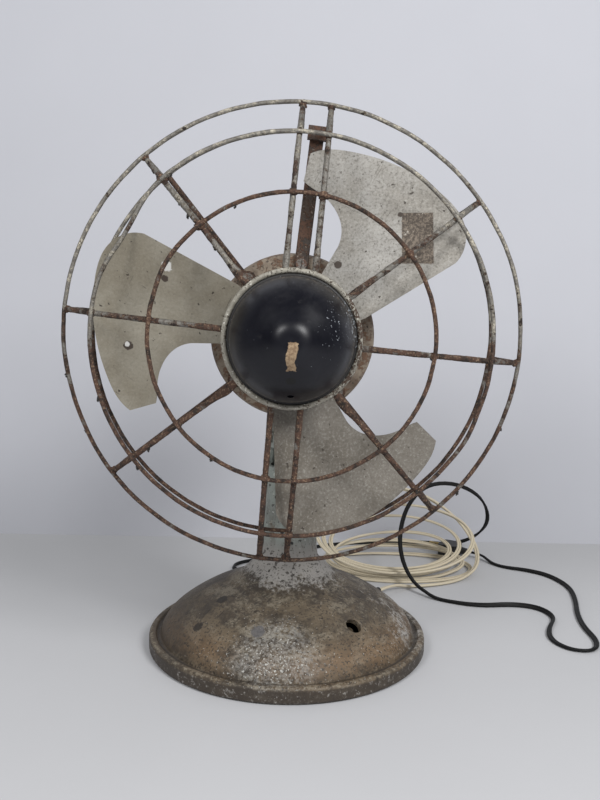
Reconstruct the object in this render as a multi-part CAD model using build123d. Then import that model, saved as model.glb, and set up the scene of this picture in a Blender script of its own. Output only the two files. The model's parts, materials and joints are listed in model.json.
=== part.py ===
from build123d import *

import os
from math import cos, dist, pi, radians, sin, sqrt, tan

# Mains desk fan, millimetres. Origin at the centre of the face it rests on, +Z up,
# the fan blows towards -Y. Parts of the head are drawn as seen from the front, with
# x to the right, y up and z forwards along the fan axis, and are then stood up.

# ---- driving dimensions -----------------------------------------------------------
BLADE_DIAMETER = 305.0
AXIS_HEIGHT = 278.0
PIVOT_HEIGHT = 198.0
FIT = 0.05
QUARTERS = (0, 90, 180, 270)

# base and neck
BASE_RADIUS = 123.5
FLANGE_BOTTOM = 1.0
FLANGE_HEIGHT = 14.0
WALL = 4.5
NECK_TOP_RADIUS = 20.4
NECK_FOOT_RADIUS = 24.9
NECK_FOOT_HEIGHT = 95.0
SHOULDER_HEIGHT = 191.0
EAR_RADIUS = 11.5
EAR_GAP = 29.4
WINDOW_BOTTOM, WINDOW_TOP = 163.0, 180.0
NECK_CABLE_END = 178.0
PLATE_RADIUS = 118.0
PLATE_BOTTOM = 2.5
PLATE_TOP = 4.5
FELT_RADIUS = 112.0
PLATE_SCREW_CIRCLE = 106.0

# speed switch under the hole in the dome
SWITCH_HOLE_RADIUS = 6.75
SWITCH_AZIMUTH = -50.6
SWITCH_RADIUS = 86.5
SWITCH_SLOPE = 38.0
SWITCH_BODY_RADIUS = 13.0
SWITCH_BODY_TOP = -16.0
SWITCH_BODY_BOTTOM = -32.0
SPINDLE_RADIUS = 3.0

# terminal block on the base plate
BLOCK_X, BLOCK_Y = 20.0, 42.0
BLOCK_HALF_LENGTH, BLOCK_HALF_WIDTH, BLOCK_HEIGHT = 19.0, 9.0, 14.0
TERMINAL_PITCH = 18.0
TERMINAL_SCREW_RADIUS = 2.2
CABLE_ENTRY_HEIGHT = 11.5

# cord exit through the flange
CORD_AZIMUTH = 50.0
CORD_HEIGHT = 8.4
GROMMET_BACK = 110.5
GROMMET_TIP = 148.0
GROMMET_RADIUS = 3.5

# tilt hinge
TILT_PIN_RADIUS = 4.0
TILT_PIN_END = 33.0
NUT_SEAT = 18.4
WASHER_THICKNESS = 1.4
LUG_WIDTH = 28.4
LUG_FACE = 206.0
LUG_SCREW_OFFSET = 19.0
LUG_SCREW_RADIUS = 2.5

# motor
HOUSING_RADIUS = 67.0
HOUSING_BORE = 64.6
HOUSING_WALL = 2.4
HOUSING_FRONT = 49.0
HOUSING_SPLIT = 5.0
HOUSING_BACK = -56.0
BEARING_RADIUS = 9.0
SHAFT_RADIUS = 4.0
SHAFT_BACK = -50.0
SHAFT_FRONT = 114.0
STATOR_FRONT = 24.0
STATOR_BACK = -14.0
ROTOR_RADIUS = 33.6
WINDING_OUTER, WINDING_INNER, WINDING_HEIGHT = 53.0, 38.0, 13.0
BOLT_CIRCLE = 56.0
BOLT_RADIUS = 2.0
BOLT_ANGLES = (45, 135, 225, 315)
BOLT_SEAT = -48.0
BOLT_END = -4.0
STAY_HOLE_CIRCLE = 58.0
STAY_SCREW_RADIUS = 2.5

# blades
BLADE_PLANE = 95.0
BLADE_THICKNESS = 1.2
ARM_THICKNESS = 2.2
BLADE_ANGLES = (50.0, 170.0, 290.0)
HUB_RADIUS = 15.0
HUB_BACK, HUB_FRONT = 80.0, 110.0
RIVET_RADIUS = 2.0

# guard: ring radii and the places of the rings along the axis
RING_WIRE = 1.6
SPOKE_WIRE = 2.1
STAY_WIRE = 2.2
WELD = 0.2
OUTER_RING, OUTER_RING_Z = 172.8, 95.0
FRONT_RING, FRONT_RING_Z = 146.0, 121.8
INNER_RING, INNER_RING_Z = 102.2, 134.5
REAR_RING, REAR_RING_Z = 160.5, 55.0
HUB_RING_OUTER, HUB_RING_INNER = 50.0, 46.2
HUB_RING_BACK, HUB_RING_FRONT = 133.0, 141.0
SPOKE_ANGLES = (37.0, -6.3, -49.5, 218.0, 172.5, 129.0)
SPOKE_PAIR_ANGLES = (84.0, 266.0)
SPOKE_PAIR_GAP = 21.0
STAY_ANGLES = (39.0, 129.0, 218.0, 310.0)
TOP_STAY_ANGLE = 84.0
TOP_STAY_WIDTH = 11.0
CAP_CLIP_ANGLES = (15, 105, 195, 330)
CAP_TIP = 190.5

# cords: widths, and the heap of loops that the cream cord lies in
CREAM_WIDTH = 5.3
BLACK_WIDTH = 5.0
INNER_LEAD = 5.0
NECK_CABLE = 6.0
ARC_SHARE = 0.45
COIL_START_ANGLE = -54.0
COIL_TURNS = 6.5
COIL_REVERSE = 3.45
COIL_SPACING = 9.6
COIL_SPREAD = 11.0
COIL_HALF_WIDTH, COIL_HALF_DEPTH = 90.0, 53.0
COIL_X, COIL_FRONT_Y = 122.0, 162.0
COIL_FLOOR = 3.1
COIL_LAYER = 7.0
COIL_TILT = 43.0
COIL_RISE = 0.45
COIL_UNEVEN = 1.5

# joiner between the two cords, and the plug
JOINER_LENGTH, JOINER_WIDTH, JOINER_HEIGHT = 30.0, 14.0, 11.0
PLUG_LENGTH, PLUG_WIDTH, PLUG_HEIGHT = 34.0, 26.0, 14.0
PLUG_NECK = 10.0
PIN_RADIUS, PIN_PITCH, PIN_LENGTH, PIN_DEPTH = 2.4, 19.0, 19.0, 8.0

# routes on and above the table, points chosen along each cord
CREAM_LEAD = [(95.1, 113.4, 8.4), (107.3, 127.9, 8.4), (129, 144, 4.0), (156.9, 150.9, 2.65)]
CREAM_TAIL = [(43.5, 248.8, 2.65), (22.5, 226.6, 5.5), (9.0, 216.6, 5.5)]
BLACK_ROUTE = [
    (-15.1, 198.7, 5.5), (-27.2, 189.8, 5.5), (-43, 181, 2.5), (-59, 186, 2.5),
    (-66, 202, 2.5), (-58, 219, 2.5), (-37, 232, 2.5), (-8, 252, 2.5), (18, 278, 2.5),
    (50, 300, 2.5), (92, 313, 2.5), (138, 317, 2.5), (180, 317, 2.5), (214, 306, 4),
    (238, 288, 20), (246, 264, 46), (231, 242, 74), (200, 228, 93), (166, 219, 93),
    (142, 201, 76), (130, 176, 48), (132, 150, 23), (143, 122, 7), (165, 98, 2.5),
    (198, 82, 2.5), (236, 88, 2.5), (262, 78, 2.5), (270, 52, 2.5), (254, 26, 2.5),
    (246, 0, 2.5), (256, -23, 2.5), (279, -25, 2.5), (291, -3, 2.5), (291, 32, 2.5),
    (297, 66, 2.5), (310, 104, 2.5), (318, 148, 2.5), (306, 188, 2.5), (283, 206, 2.5),
    (263, 214, 2.5), (249, 226, 2.5), (242, 242, 4.5), (233, 256, 7), (220.3, 264, 7),
]


# ---- helpers ----------------------------------------------------------------------
def turned(*outline):
    """Solid of revolution about Z from a closed outline of (radius, height)."""
    return revolve(Plane.XZ * make_face(Polyline(*outline, close=True)), Axis.Z)


def turned_edges(*edges):
    """Solid of revolution about Z from joined edges drawn in (radius, height)."""
    return revolve(Plane.XZ * make_face(list(edges)), Axis.Z)


def rod(radius, low, high):
    """Cylinder about Z between two heights."""
    return Pos(0, 0, (low + high) / 2) * Cylinder(radius, high - low)


def tube(outer, inner, low, high):
    """Hollow cylinder about Z between two heights."""
    return rod(outer, low, high) - rod(inner, low - 1, high + 1)


def block(low, high):
    """Box between two corners."""
    size = [b - a for a, b in zip(low, high)]
    middle = [(a + b) / 2 for a, b in zip(low, high)]
    return Pos(*middle) * Box(*size)


def around(angles, shape):
    """Copies of a shape turned about Z."""
    return [Rot(0, 0, angle) * shape for angle in angles]


def stood_up(shape):
    """Carries a head part from the front view to its place on the stand."""
    if isinstance(shape, list):
        return [stood_up(piece) for piece in shape]
    return Pos(0, 0, AXIS_HEIGHT) * Rot(90, 0, 0) * shape


def one(shapes):
    """One compound of separate solids."""
    return Compound(children=[solid for shape in shapes for solid in shape.solids()])


def along(angle, radius, height=0.0):
    """Point at an angle and a radius about Z."""
    return Vector(radius * cos(radians(angle)), radius * sin(radians(angle)), height)


def wire_sweep(path, radius):
    """Round wire along a path."""
    return sweep(Plane(path @ 0, z_dir=path % 0) * Circle(radius), path=path)


def screw(head_radius, head, shank_radius, shank):
    """Slotted cheese-head screw, its head standing on z = 0 and its shank below."""
    body = rod(head_radius, 0, head) + rod(shank_radius, -shank, 0)
    slot = block((-head_radius, -0.5, head * 0.55), (head_radius, 0.5, head + 1))
    return body - slot


# ---- stand ------------------------------------------------------------------------
def casting_outline(inset):
    """Edges of the dome and neck, moved inwards by inset, from flange to neck top."""
    dome = [(112, 17.0), (102, 30.5), (90, 39.4), (65, 53.2), (42, 65.0), (30, 77.0)]
    dome = [(r - inset * 0.6, z - inset * 0.8) for r, z in dome]
    foot = (NECK_FOOT_RADIUS - inset, NECK_FOOT_HEIGHT)
    top = (NECK_TOP_RADIUS - inset, SHOULDER_HEIGHT)
    lean = (top[0] - foot[0], top[1] - foot[1])
    shell = Spline(*dome, foot, tangents=[(-0.35, 1), lean])
    return shell, Line(foot, top), dome[0], top


def base_casting():
    """Foot with its flange and dome, and the hollow neck with its two ears."""
    ear_top = PIVOT_HEIGHT + EAR_RADIUS + 1
    outer = casting_skin(ear_top)
    bosses = [Pos(along(a, PLATE_SCREW_CIRCLE)) * rod(5.5, 0, 40) & outer for a in QUARTERS]
    body = outer - inner_space()
    for boss in bosses:
        body += boss
    body -= rod(PLATE_RADIUS + 0.2, -1, PLATE_TOP)
    for angle in QUARTERS:
        body -= Pos(along(angle, PLATE_SCREW_CIRCLE)) * rod(2.0, 0, 16)
    body -= ear_cutter()
    body -= block((-EAR_GAP / 2, -40, SHOULDER_HEIGHT - 6), (EAR_GAP / 2, 40, ear_top + 5))
    body -= tilt_axis() * rod(TILT_PIN_RADIUS, -60, 60)
    body -= block((NUT_SEAT, -9, PIVOT_HEIGHT - 9), (40, 9, PIVOT_HEIGHT + 30))
    body -= tilt_axis() * rod(7.2, -40, WASHER_THICKNESS - NUT_SEAT)
    body -= switch_axis() * rod(SWITCH_HOLE_RADIUS, -14, 14)
    body -= cord_axis() * rod(GROMMET_RADIUS, 90, BASE_RADIUS + 5)
    body -= neck_window()
    return body


def casting_skin(ear_top):
    """Outer form of the casting, still solid, up to the top of the ears."""
    shell, neck, start, top = casting_outline(0)
    corner = (BASE_RADIUS, FLANGE_HEIGHT - 3)
    rim = (BASE_RADIUS - 3, FLANGE_HEIGHT)
    outline = Polyline(
        (0, ear_top), (0, FLANGE_BOTTOM), (BASE_RADIUS - 1, FLANGE_BOTTOM),
        (BASE_RADIUS, FLANGE_BOTTOM + 1.5), corner)
    groove = Polyline(
        rim, (118.0, FLANGE_HEIGHT), (116.5, FLANGE_HEIGHT - 1.6),
        (113.5, FLANGE_HEIGHT - 1), start)
    lip = TangentArc(corner, rim, tangent=(0, 1))
    cover = Polyline(top, (NECK_TOP_RADIUS, ear_top), (0, ear_top))
    return turned_edges(outline, lip, groove, shell, neck, cover)


def inner_space():
    """Hollow of the dome and the neck."""
    shell, neck, start, top = casting_outline(WALL)
    floor = Polyline((0, PLATE_TOP), (114.0, PLATE_TOP), (113.0, FLANGE_HEIGHT - 6), start)
    roof = Polyline(top, (0, SHOULDER_HEIGHT), (0, PLATE_TOP))
    return turned_edges(floor, shell, neck, roof)


def ear_cutter():
    """What is cut away above the shoulders to leave ears round the tilt axis."""
    above = block((-40, -40, SHOULDER_HEIGHT), (40, 40, PIVOT_HEIGHT + 40))
    keep = tilt_axis() * rod(EAR_RADIUS, -60, 60)
    keep += block((-60, -EAR_RADIUS, SHOULDER_HEIGHT - 1), (60, EAR_RADIUS, PIVOT_HEIGHT))
    return above - keep


def neck_window():
    """Window on the left of the neck and the small slit above it."""
    window = block((-60, -11, WINDOW_BOTTOM), (0, 11, WINDOW_TOP))
    slit = block((-60, -1.4, SHOULDER_HEIGHT - 7), (0, 1.4, SHOULDER_HEIGHT + 3))
    return Rot(0, 0, 20) * window + Rot(0, 0, 38) * slit


def tilt_axis():
    """Frame of the tilt axis: its z runs along +X."""
    return Pos(0, 0, PIVOT_HEIGHT) * Rot(0, 90, 0)


def dome_height(radius):
    """Height of the dome's skin between its two middle outline points."""
    return 39.4 + (90 - radius) * (53.2 - 39.4) / (90 - 65)


def switch_axis():
    """Frame of the switch hole: origin on the dome's skin, z outwards."""
    spot = along(SWITCH_AZIMUTH, SWITCH_RADIUS, dome_height(SWITCH_RADIUS))
    return Pos(spot) * Rot(0, 0, SWITCH_AZIMUTH) * Rot(0, SWITCH_SLOPE, 0)


def cord_axis():
    """Frame of the cord exit: origin on the base's axis, z outwards."""
    return Pos(0, 0, CORD_HEIGHT) * Rot(0, 0, CORD_AZIMUTH) * Rot(0, 90, 0)


def plate_screw(head_radius, shank_radius, end):
    """Countersunk form of a base plate screw, pointing up."""
    return turned((0, PLATE_BOTTOM), (head_radius, PLATE_BOTTOM), (shank_radius, 4.4),
                  (shank_radius, end), (0, end))


def base_plate():
    plate = rod(PLATE_RADIUS, PLATE_BOTTOM, PLATE_TOP)
    for angle in QUARTERS:
        plate -= Pos(along(angle, PLATE_SCREW_CIRCLE)) * plate_screw(3.9, 2.05, 9)
    return plate


def base_plate_screws():
    return one(Pos(along(a, PLATE_SCREW_CIRCLE)) * plate_screw(3.9, 2.0, 15) for a in QUARTERS)


def base_felt():
    return rod(FELT_RADIUS, 0, PLATE_BOTTOM)


def switch_body():
    """Round switch below the hole, its bush cut back from the missing nut."""
    body = rod(SWITCH_BODY_RADIUS, SWITCH_BODY_BOTTOM, SWITCH_BODY_TOP)
    body += rod(5.5, SWITCH_BODY_TOP, SWITCH_BODY_TOP + 4)
    body -= rod(SPINDLE_RADIUS + FIT, -24, 0)
    for side in (-1, 1):
        tag = block((-1.5, -2.5, SWITCH_BODY_BOTTOM - 6), (1.5, 2.5, SWITCH_BODY_BOTTOM + 1))
        body += Pos(side * 7, 0, 0) * tag
    return switch_axis() * body


def switch_spindle():
    """Flatted spindle that the missing knob turned."""
    flat = block((1.6, -4, -11.5), (4, 4, 0))
    return switch_axis() * (rod(SPINDLE_RADIUS, -23.5, -6.5) - flat)


def switch_posts():
    """Two posts that carry the switch on the base plate, one each side of its tags."""
    body = switch_axis() * rod(SWITCH_BODY_RADIUS, SWITCH_BODY_BOTTOM, SWITCH_BODY_TOP)
    posts = []
    for side in (-1, 1):
        foot = (switch_axis() * Pos(0, 8 * side, -26)).position
        post = rod(4, PLATE_TOP, 22) + rod(5, PLATE_TOP, PLATE_TOP + 1.2)
        posts.append(Pos(foot.X, foot.Y, 0) * post - body)
    return one(posts)


def terminal_places():
    """Places of the two terminals on the block's foot."""
    return [Pos(BLOCK_X + side * TERMINAL_PITCH / 2, BLOCK_Y, PLATE_TOP) for side in (-1, 1)]


def terminal_block():
    low = (BLOCK_X - BLOCK_HALF_LENGTH, BLOCK_Y - BLOCK_HALF_WIDTH, PLATE_TOP)
    high = (BLOCK_X + BLOCK_HALF_LENGTH, BLOCK_Y + BLOCK_HALF_WIDTH, PLATE_TOP + BLOCK_HEIGHT)
    body = block(low, high)
    for place in terminal_places():
        body -= place * rod(TERMINAL_SCREW_RADIUS, 6, 20)
    return body


def terminal_screws():
    top = Pos(0, 0, BLOCK_HEIGHT)
    shape = screw(3.6, 2.2, TERMINAL_SCREW_RADIUS, 7)
    return one(place * top * shape for place in terminal_places())


def cord_grommet():
    """Tapered rubber sleeve through the flange, flanged outside."""
    tip = CREAM_WIDTH / 2 + 0.75
    sleeve = turned(
        (0, GROMMET_BACK), (GROMMET_RADIUS, GROMMET_BACK), (GROMMET_RADIUS, BASE_RADIUS),
        (5.2, BASE_RADIUS), (5.2, BASE_RADIUS + 2), (4.6, BASE_RADIUS + 2), (tip, GROMMET_TIP),
        (0, GROMMET_TIP))
    return cord_axis() * sleeve


def inner_supply_lead():
    """Twin lead from the grommet to the terminal block."""
    end = BLOCK_X + BLOCK_HALF_LENGTH
    path = FilletPolyline(
        along(CORD_AZIMUTH, GROMMET_BACK, CORD_HEIGHT), along(CORD_AZIMUTH, 92, CORD_HEIGHT),
        (57, BLOCK_Y, CABLE_ENTRY_HEIGHT), (end, BLOCK_Y, CABLE_ENTRY_HEIGHT), radius=8)
    return wire_sweep(path, INNER_LEAD / 2)


def neck_cable():
    """Motor cable from the terminal block up the neck."""
    start = BLOCK_X - BLOCK_HALF_LENGTH
    path = FilletPolyline(
        (start, BLOCK_Y, CABLE_ENTRY_HEIGHT), (start - 15, BLOCK_Y, CABLE_ENTRY_HEIGHT),
        (-14, 20, 40), (0, 0, 92), (0, 0, NECK_CABLE_END), radius=12)
    return wire_sweep(path, NECK_CABLE / 2)


def tilt_bolt():
    """Bolt on the tilt axis: countersunk head to the left, thread to the right."""
    seat = WASHER_THICKNESS - NUT_SEAT
    head = turned((0, -19.4), (5.2, -19.4), (6.8, -18.8), (6.8, seat), (0, seat))
    shank = rod(TILT_PIN_RADIUS, seat, TILT_PIN_END)
    slot = block((-8, -0.7, -20), (8, 0.7, -18.4))
    return tilt_axis() * (head + shank - slot)


def tilt_washer():
    return tilt_axis() * tube(8.4, TILT_PIN_RADIUS, NUT_SEAT, NUT_SEAT + WASHER_THICKNESS)


def wing_nut():
    """Wing nut that clamps the tilt, free to turn on the bolt."""
    seat = NUT_SEAT + WASHER_THICKNESS + 0.2
    body = turned((0, seat), (6.6, seat), (5.2, seat + 9), (0, seat + 9))
    wing = extrude(Plane.XZ * make_face([
        Line((4.0, seat + 2.5), (12.0, seat + 5.0)),
        TangentArc((12.0, seat + 5.0), (11.0, seat + 12.0), tangent=(1, 0.3)),
        Line((11.0, seat + 12.0), (4.0, seat + 8.6)),
        Line((4.0, seat + 8.6), (4.0, seat + 2.5)),
    ]), 1.2, both=True)
    nut = body + wing + Rot(0, 0, 180) * wing
    nut -= rod(TILT_PIN_RADIUS + FIT, seat - 1, seat + 20)
    return tilt_axis() * nut


# ---- motor ------------------------------------------------------------------------
def lug_screw_hole(depth):
    """Hole through the bottom of a housing for the lug screw at a place on the axis."""
    return Pos(0, -HOUSING_RADIUS, depth) * Rot(90, 0, 0) * rod(LUG_SCREW_RADIUS, -6, 6)


def motor_front_housing():
    """Front bell with its bearing boss, drawn from the front."""
    wall, face = HOUSING_WALL, HOUSING_FRONT
    shell = turned(
        (HOUSING_RADIUS, HOUSING_SPLIT), (HOUSING_RADIUS, 44.0), (65.6, 47.6), (62.0, face),
        (50.0, face), (42.0, 52.0), (16.0, 55.0), (15.0, 64.0), (BEARING_RADIUS, 64.0),
        (BEARING_RADIUS, 46.0), (13.0, 46.0), (14.0, 55.0 - wall), (41.0, 52.0 - wall),
        (50.0, face - wall), (61.0, face - wall), (63.4, 46.0), (HOUSING_BORE, 43.0),
        (HOUSING_BORE, HOUSING_SPLIT))
    for angle in (*STAY_ANGLES, TOP_STAY_ANGLE):
        shell -= Pos(along(angle, STAY_HOLE_CIRCLE)) * rod(STAY_SCREW_RADIUS, 40, 60)
    return stood_up(shell - lug_screw_hole(LUG_SCREW_OFFSET))


def motor_rear_housing():
    """Rear bell with its vents, drawn from the front."""
    back = HOUSING_BACK
    shell = turned(
        (HOUSING_RADIUS, HOUSING_SPLIT), (HOUSING_BORE, HOUSING_SPLIT), (HOUSING_BORE, -41.5),
        (61.2, BOLT_SEAT + HOUSING_WALL), (50.6, BOLT_SEAT + HOUSING_WALL), (40.5, -50.0),
        (13.0, -52.0), (13.0, -40.0), (BEARING_RADIUS, -40.0), (BEARING_RADIUS, back),
        (12.0, back - 3), (26.0, back + 1.6), (41.0, -52.4), (50.0, BOLT_SEAT),
        (62.0, BOLT_SEAT), (HOUSING_RADIUS, -42.0))
    vent = Pos(36, 0, -52) * Box(16, 5, 20)
    for angle in range(0, 360, 30):
        shell -= Rot(0, 0, angle + 15) * vent
    for hole in around(BOLT_ANGLES, Pos(BOLT_CIRCLE, 0, 0) * rod(BOLT_RADIUS, -60, 0)):
        shell -= hole
    return stood_up(shell - lug_screw_hole(-LUG_SCREW_OFFSET))


def oiler_cap():
    """Cap over the rear bearing."""
    back = HOUSING_BACK
    cap = turned((0, back), (BEARING_RADIUS, back), (BEARING_RADIUS, back - 6),
                 (7.5, back - 8.5), (0, back - 8.5))
    return stood_up(cap)


def housing_bolts():
    """Four long bolts from the back that pull the two bells together."""
    bolt = rod(4.2, BOLT_SEAT - 3, BOLT_SEAT) + rod(BOLT_RADIUS, BOLT_SEAT, BOLT_END)
    return one(stood_up(around(BOLT_ANGLES, Pos(BOLT_CIRCLE, 0, 0) * bolt)))


def front_bearing():
    return stood_up(tube(BEARING_RADIUS, SHAFT_RADIUS + FIT, 46, 64))


def rear_bearing():
    return stood_up(tube(BEARING_RADIUS, SHAFT_RADIUS + FIT, HOUSING_BACK + 2, -40))


def thrust_washers():
    pair = [tube(8, SHAFT_RADIUS + 0.02, low, low + 1.6) for low in (29.6, -21.2)]
    return one(stood_up(pair))


def stator_core():
    core = tube(HOUSING_BORE, ROTOR_RADIUS + 0.6, STATOR_BACK, STATOR_FRONT)
    for slot in around(range(0, 360, 45), block((30, -3, -40), (WINDING_OUTER - 1, 3, 40))):
        core -= slot
    for hole in around(BOLT_ANGLES, Pos(BOLT_CIRCLE, 0, 0) * rod(BOLT_RADIUS, -20, BOLT_END)):
        core -= hole
    return stood_up(core)


def stator_windings():
    """Front and back coil heads of the winding."""
    front = tube(WINDING_OUTER, WINDING_INNER, STATOR_FRONT, STATOR_FRONT + WINDING_HEIGHT)
    back = tube(WINDING_OUTER, WINDING_INNER, STATOR_BACK - WINDING_HEIGHT, STATOR_BACK)
    return one(stood_up([front, back]))


def rotor_core():
    return stood_up(tube(ROTOR_RADIUS, SHAFT_RADIUS, STATOR_BACK, STATOR_FRONT))


def rotor_end_rings():
    front = tube(ROTOR_RADIUS - 1, 22, STATOR_FRONT, STATOR_FRONT + 5)
    back = tube(ROTOR_RADIUS - 1, 22, STATOR_BACK - 5, STATOR_BACK)
    return one(stood_up([front, back]))


def motor_shaft():
    return stood_up(rod(SHAFT_RADIUS, SHAFT_BACK, SHAFT_FRONT))


def tilt_lug():
    """Keel under the motor that hangs between the ears of the neck."""
    half = LUG_WIDTH / 2
    keel = block((-half, -26, LUG_FACE), (half, 26, LUG_FACE + 14))
    eye = tilt_axis() * rod(10.8, -half, half)
    web = block((-half, -9, PIVOT_HEIGHT), (half, 9, LUG_FACE + 2))
    lug = keel + eye + web
    lug -= Pos(0, 0, AXIS_HEIGHT) * Rot(90, 0, 0) * rod(HOUSING_RADIUS, -60, 60)
    lug -= tilt_axis() * rod(TILT_PIN_RADIUS + FIT, -30, 30)
    for y in (-LUG_SCREW_OFFSET, LUG_SCREW_OFFSET):
        lug -= Pos(0, y, LUG_FACE) * rod(LUG_SCREW_RADIUS, -5, 30)
    return lug


def lug_screws():
    """Two screws through the keel into the housing."""
    reach = AXIS_HEIGHT - HOUSING_BORE - 0.2 - LUG_FACE
    shape = Rot(180, 0, 0) * screw(4.2, 2.6, LUG_SCREW_RADIUS, reach)
    return one(Pos(0, y, LUG_FACE) * shape for y in (-LUG_SCREW_OFFSET, LUG_SCREW_OFFSET))


# ---- blades -----------------------------------------------------------------------
def blade_skin(back, front):
    """Twisted and cambered sheet about local X, between two offsets along the axis."""
    sections = []
    for radius, slope in ((14, 0.52), (60, 0.45), (105, 0.36), (160, 0.27)):
        half = 24 + 0.5 * radius
        points = [(y, -slope * y + 0.0012 * y * y) for y in (-half, -half / 3, half / 2, half)]
        upper = Spline(*[(y, z + front) for y, z in points])
        lower = Spline(*[(y, z + back) for y, z in points])
        ends = [Line(upper @ t, lower @ t) for t in (0, 1)]
        plane = Plane((radius, 0, BLADE_PLANE), x_dir=(0, 1, 0), z_dir=(1, 0, 0))
        sections.append(plane * make_face([upper, lower, *ends]))
    return loft(sections)


def blade_outline():
    """Ear-shaped outline of one blade from (radius, angle) points of the front view."""
    ear = [(77, 64.3), (98, 70.0), (111, 79.5), (122, 88.0), (131, 89.4), (140, 85.5),
           (146.5, 74.0), (151.0, 57.0), (BLADE_DIAMETER / 2 + 0.5, 45.0), (150.5, 34.5),
           (143, 29.6), (130, 25.8)]
    root = [(56, 16.5), (24, 8), (27, 70), (54, 66)]
    turn = BLADE_ANGLES[0]
    edge = Spline(*[along(angle - turn, radius) for radius, angle in ear])
    inner = [along(angle - turn, radius) for radius, angle in root]
    return [edge, Polyline(edge @ 1, *inner, edge @ 0)]


def rivet_frames():
    """Places of the three rivets of one blade, z along the blade's normal."""
    frames = []
    for x, y, slope in ((31, -6, 0.49), (47, -15, 0.465), (47, 4, 0.465)):
        height = BLADE_PLANE - slope * y + 0.0012 * y * y
        frames.append(Plane((x, y, height), x_dir=(1, 0, 0), z_dir=(0, slope, 1)))
    return frames


def blade(angle):
    """One pressed sheet-metal blade."""
    outline = extrude(make_face(blade_outline()), 200)
    sheet = blade_skin(-BLADE_THICKNESS / 2, BLADE_THICKNESS / 2) & outline
    for frame in rivet_frames():
        sheet -= frame * rod(RIVET_RADIUS, -20, 20)
    return stood_up(Rot(0, 0, angle) * sheet)


def blade_hub():
    """Boss on the shaft with three pressed arms under the blades."""
    hub = tube(HUB_RADIUS, SHAFT_RADIUS, HUB_BACK, HUB_FRONT)
    back = -BLADE_THICKNESS / 2 - ARM_THICKNESS
    pad = make_face(Polyline(
        (10, -9), (24, -16), (52, -23), (56, -6), (54, 11), (24, 7), (10, 6), close=True))
    arm = blade_skin(back, -BLADE_THICKNESS / 2) & extrude(pad, 200)
    for frame in rivet_frames():
        arm -= frame * rod(RIVET_RADIUS, -20, 20)
    for spider in around(BLADE_ANGLES, arm - rod(HUB_RADIUS - 2, 60, 130)):
        hub += spider
    hub -= hub_screw_axis() * rod(2.5, 0, 40)
    return stood_up(hub)


def hub_screw_axis():
    """Frame of the grub screw in the hub, z outwards from the shaft."""
    return Pos(0, 0, HUB_FRONT - 5) * Rot(0, 0, -10) * Rot(0, 90, 0)


def hub_set_screw():
    grub = rod(2.5, SHAFT_RADIUS, HUB_RADIUS - 1) - block((-3, -0.5, 12.6), (3, 0.5, 20))
    return stood_up(hub_screw_axis() * grub)


def blade_rivets():
    back = -BLADE_THICKNESS / 2 - ARM_THICKNESS
    front = BLADE_THICKNESS / 2
    rivet = rod(RIVET_RADIUS, back - 0.4, front + 0.4)
    rivet += rod(3.8, front + 0.35, front + 1.6) + rod(3.4, back - 1.6, back - 0.35)
    rivets = []
    for frame in rivet_frames():
        rivets += around(BLADE_ANGLES, frame * rivet)
    return one(stood_up(rivets))


# ---- guard ------------------------------------------------------------------------
def ring(radius, height):
    """Closed wire ring round the fan axis."""
    return stood_up(Pos(0, 0, height) * Torus(radius, RING_WIRE))


def guard_hub_ring():
    """Band round the nose cap with a rolled front edge."""
    back, front = HUB_RING_BACK, HUB_RING_FRONT
    band = tube(HUB_RING_OUTER - 1.2, HUB_RING_INNER, back, front - 3)
    roll_radius = (HUB_RING_OUTER - HUB_RING_INNER) / 2
    roll = Pos(0, 0, front - roll_radius) * Torus(HUB_RING_INNER + roll_radius, roll_radius)
    return stood_up(band + roll)


def spoke(offset=0.0):
    """One bent wire from the hub ring over the front to the rear ring, along local X."""
    start = sqrt((HUB_RING_OUTER - 1.6) ** 2 - offset**2)
    knee = sqrt((OUTER_RING - RING_WIRE - SPOKE_WIRE) ** 2 - offset**2) - 1 + WELD
    rear = sqrt((REAR_RING + 1.0) ** 2 - offset**2)
    under = INNER_RING_Z - RING_WIRE - SPOKE_WIRE + WELD
    path = FilletPolyline(
        (start, offset, 136.6), (INNER_RING, offset, under),
        (FRONT_RING - 3, offset, FRONT_RING_Z - 2.2), (knee, offset, OUTER_RING_Z + 4),
        (rear, offset, REAR_RING_Z + RING_WIRE + SPOKE_WIRE - 0.3), radius=9)
    return wire_sweep(path, SPOKE_WIRE)


def guard_spokes():
    """Ten spokes: six single ones and a pair at the top and at the bottom."""
    wires = around(SPOKE_ANGLES, spoke())
    for side in (-1, 1):
        wires += around(SPOKE_PAIR_ANGLES, spoke(side * SPOKE_PAIR_GAP / 2))
    return one(stood_up(wires))


def rear_stays():
    """Four wires from the rear ring to eyes on the front of the motor."""
    level = REAR_RING_Z - RING_WIRE - STAY_WIRE + WELD
    eye = Pos(STAY_HOLE_CIRCLE, 0, 0) * tube(6.5, STAY_SCREW_RADIUS, HOUSING_FRONT, level + 1.2)
    wire = Pos(0, 0, level) * Rot(0, 90, 0) * rod(STAY_WIRE, STAY_HOLE_CIRCLE + 5, REAR_RING + 2)
    return one(stood_up(around(STAY_ANGLES, eye + wire)))


def top_stay():
    """Wide channel stay from the motor up to the rear ring."""
    half = TOP_STAY_WIDTH / 2
    low, high = HOUSING_FRONT, REAR_RING_Z - RING_WIRE
    channel = block((50, -half, low), (REAR_RING + 1, half, high))
    channel -= block((70, 1.5 - half, low - 1), (REAR_RING + 5, half - 1.5, high - 1.6))
    channel = fillet(channel.edges().filter_by(Axis.X).group_by(Axis.Z)[-1], 1.2)
    channel -= Pos(STAY_HOLE_CIRCLE, 0, 0) * rod(STAY_SCREW_RADIUS, 40, 60)
    return stood_up(Rot(0, 0, TOP_STAY_ANGLE) * channel)


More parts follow.
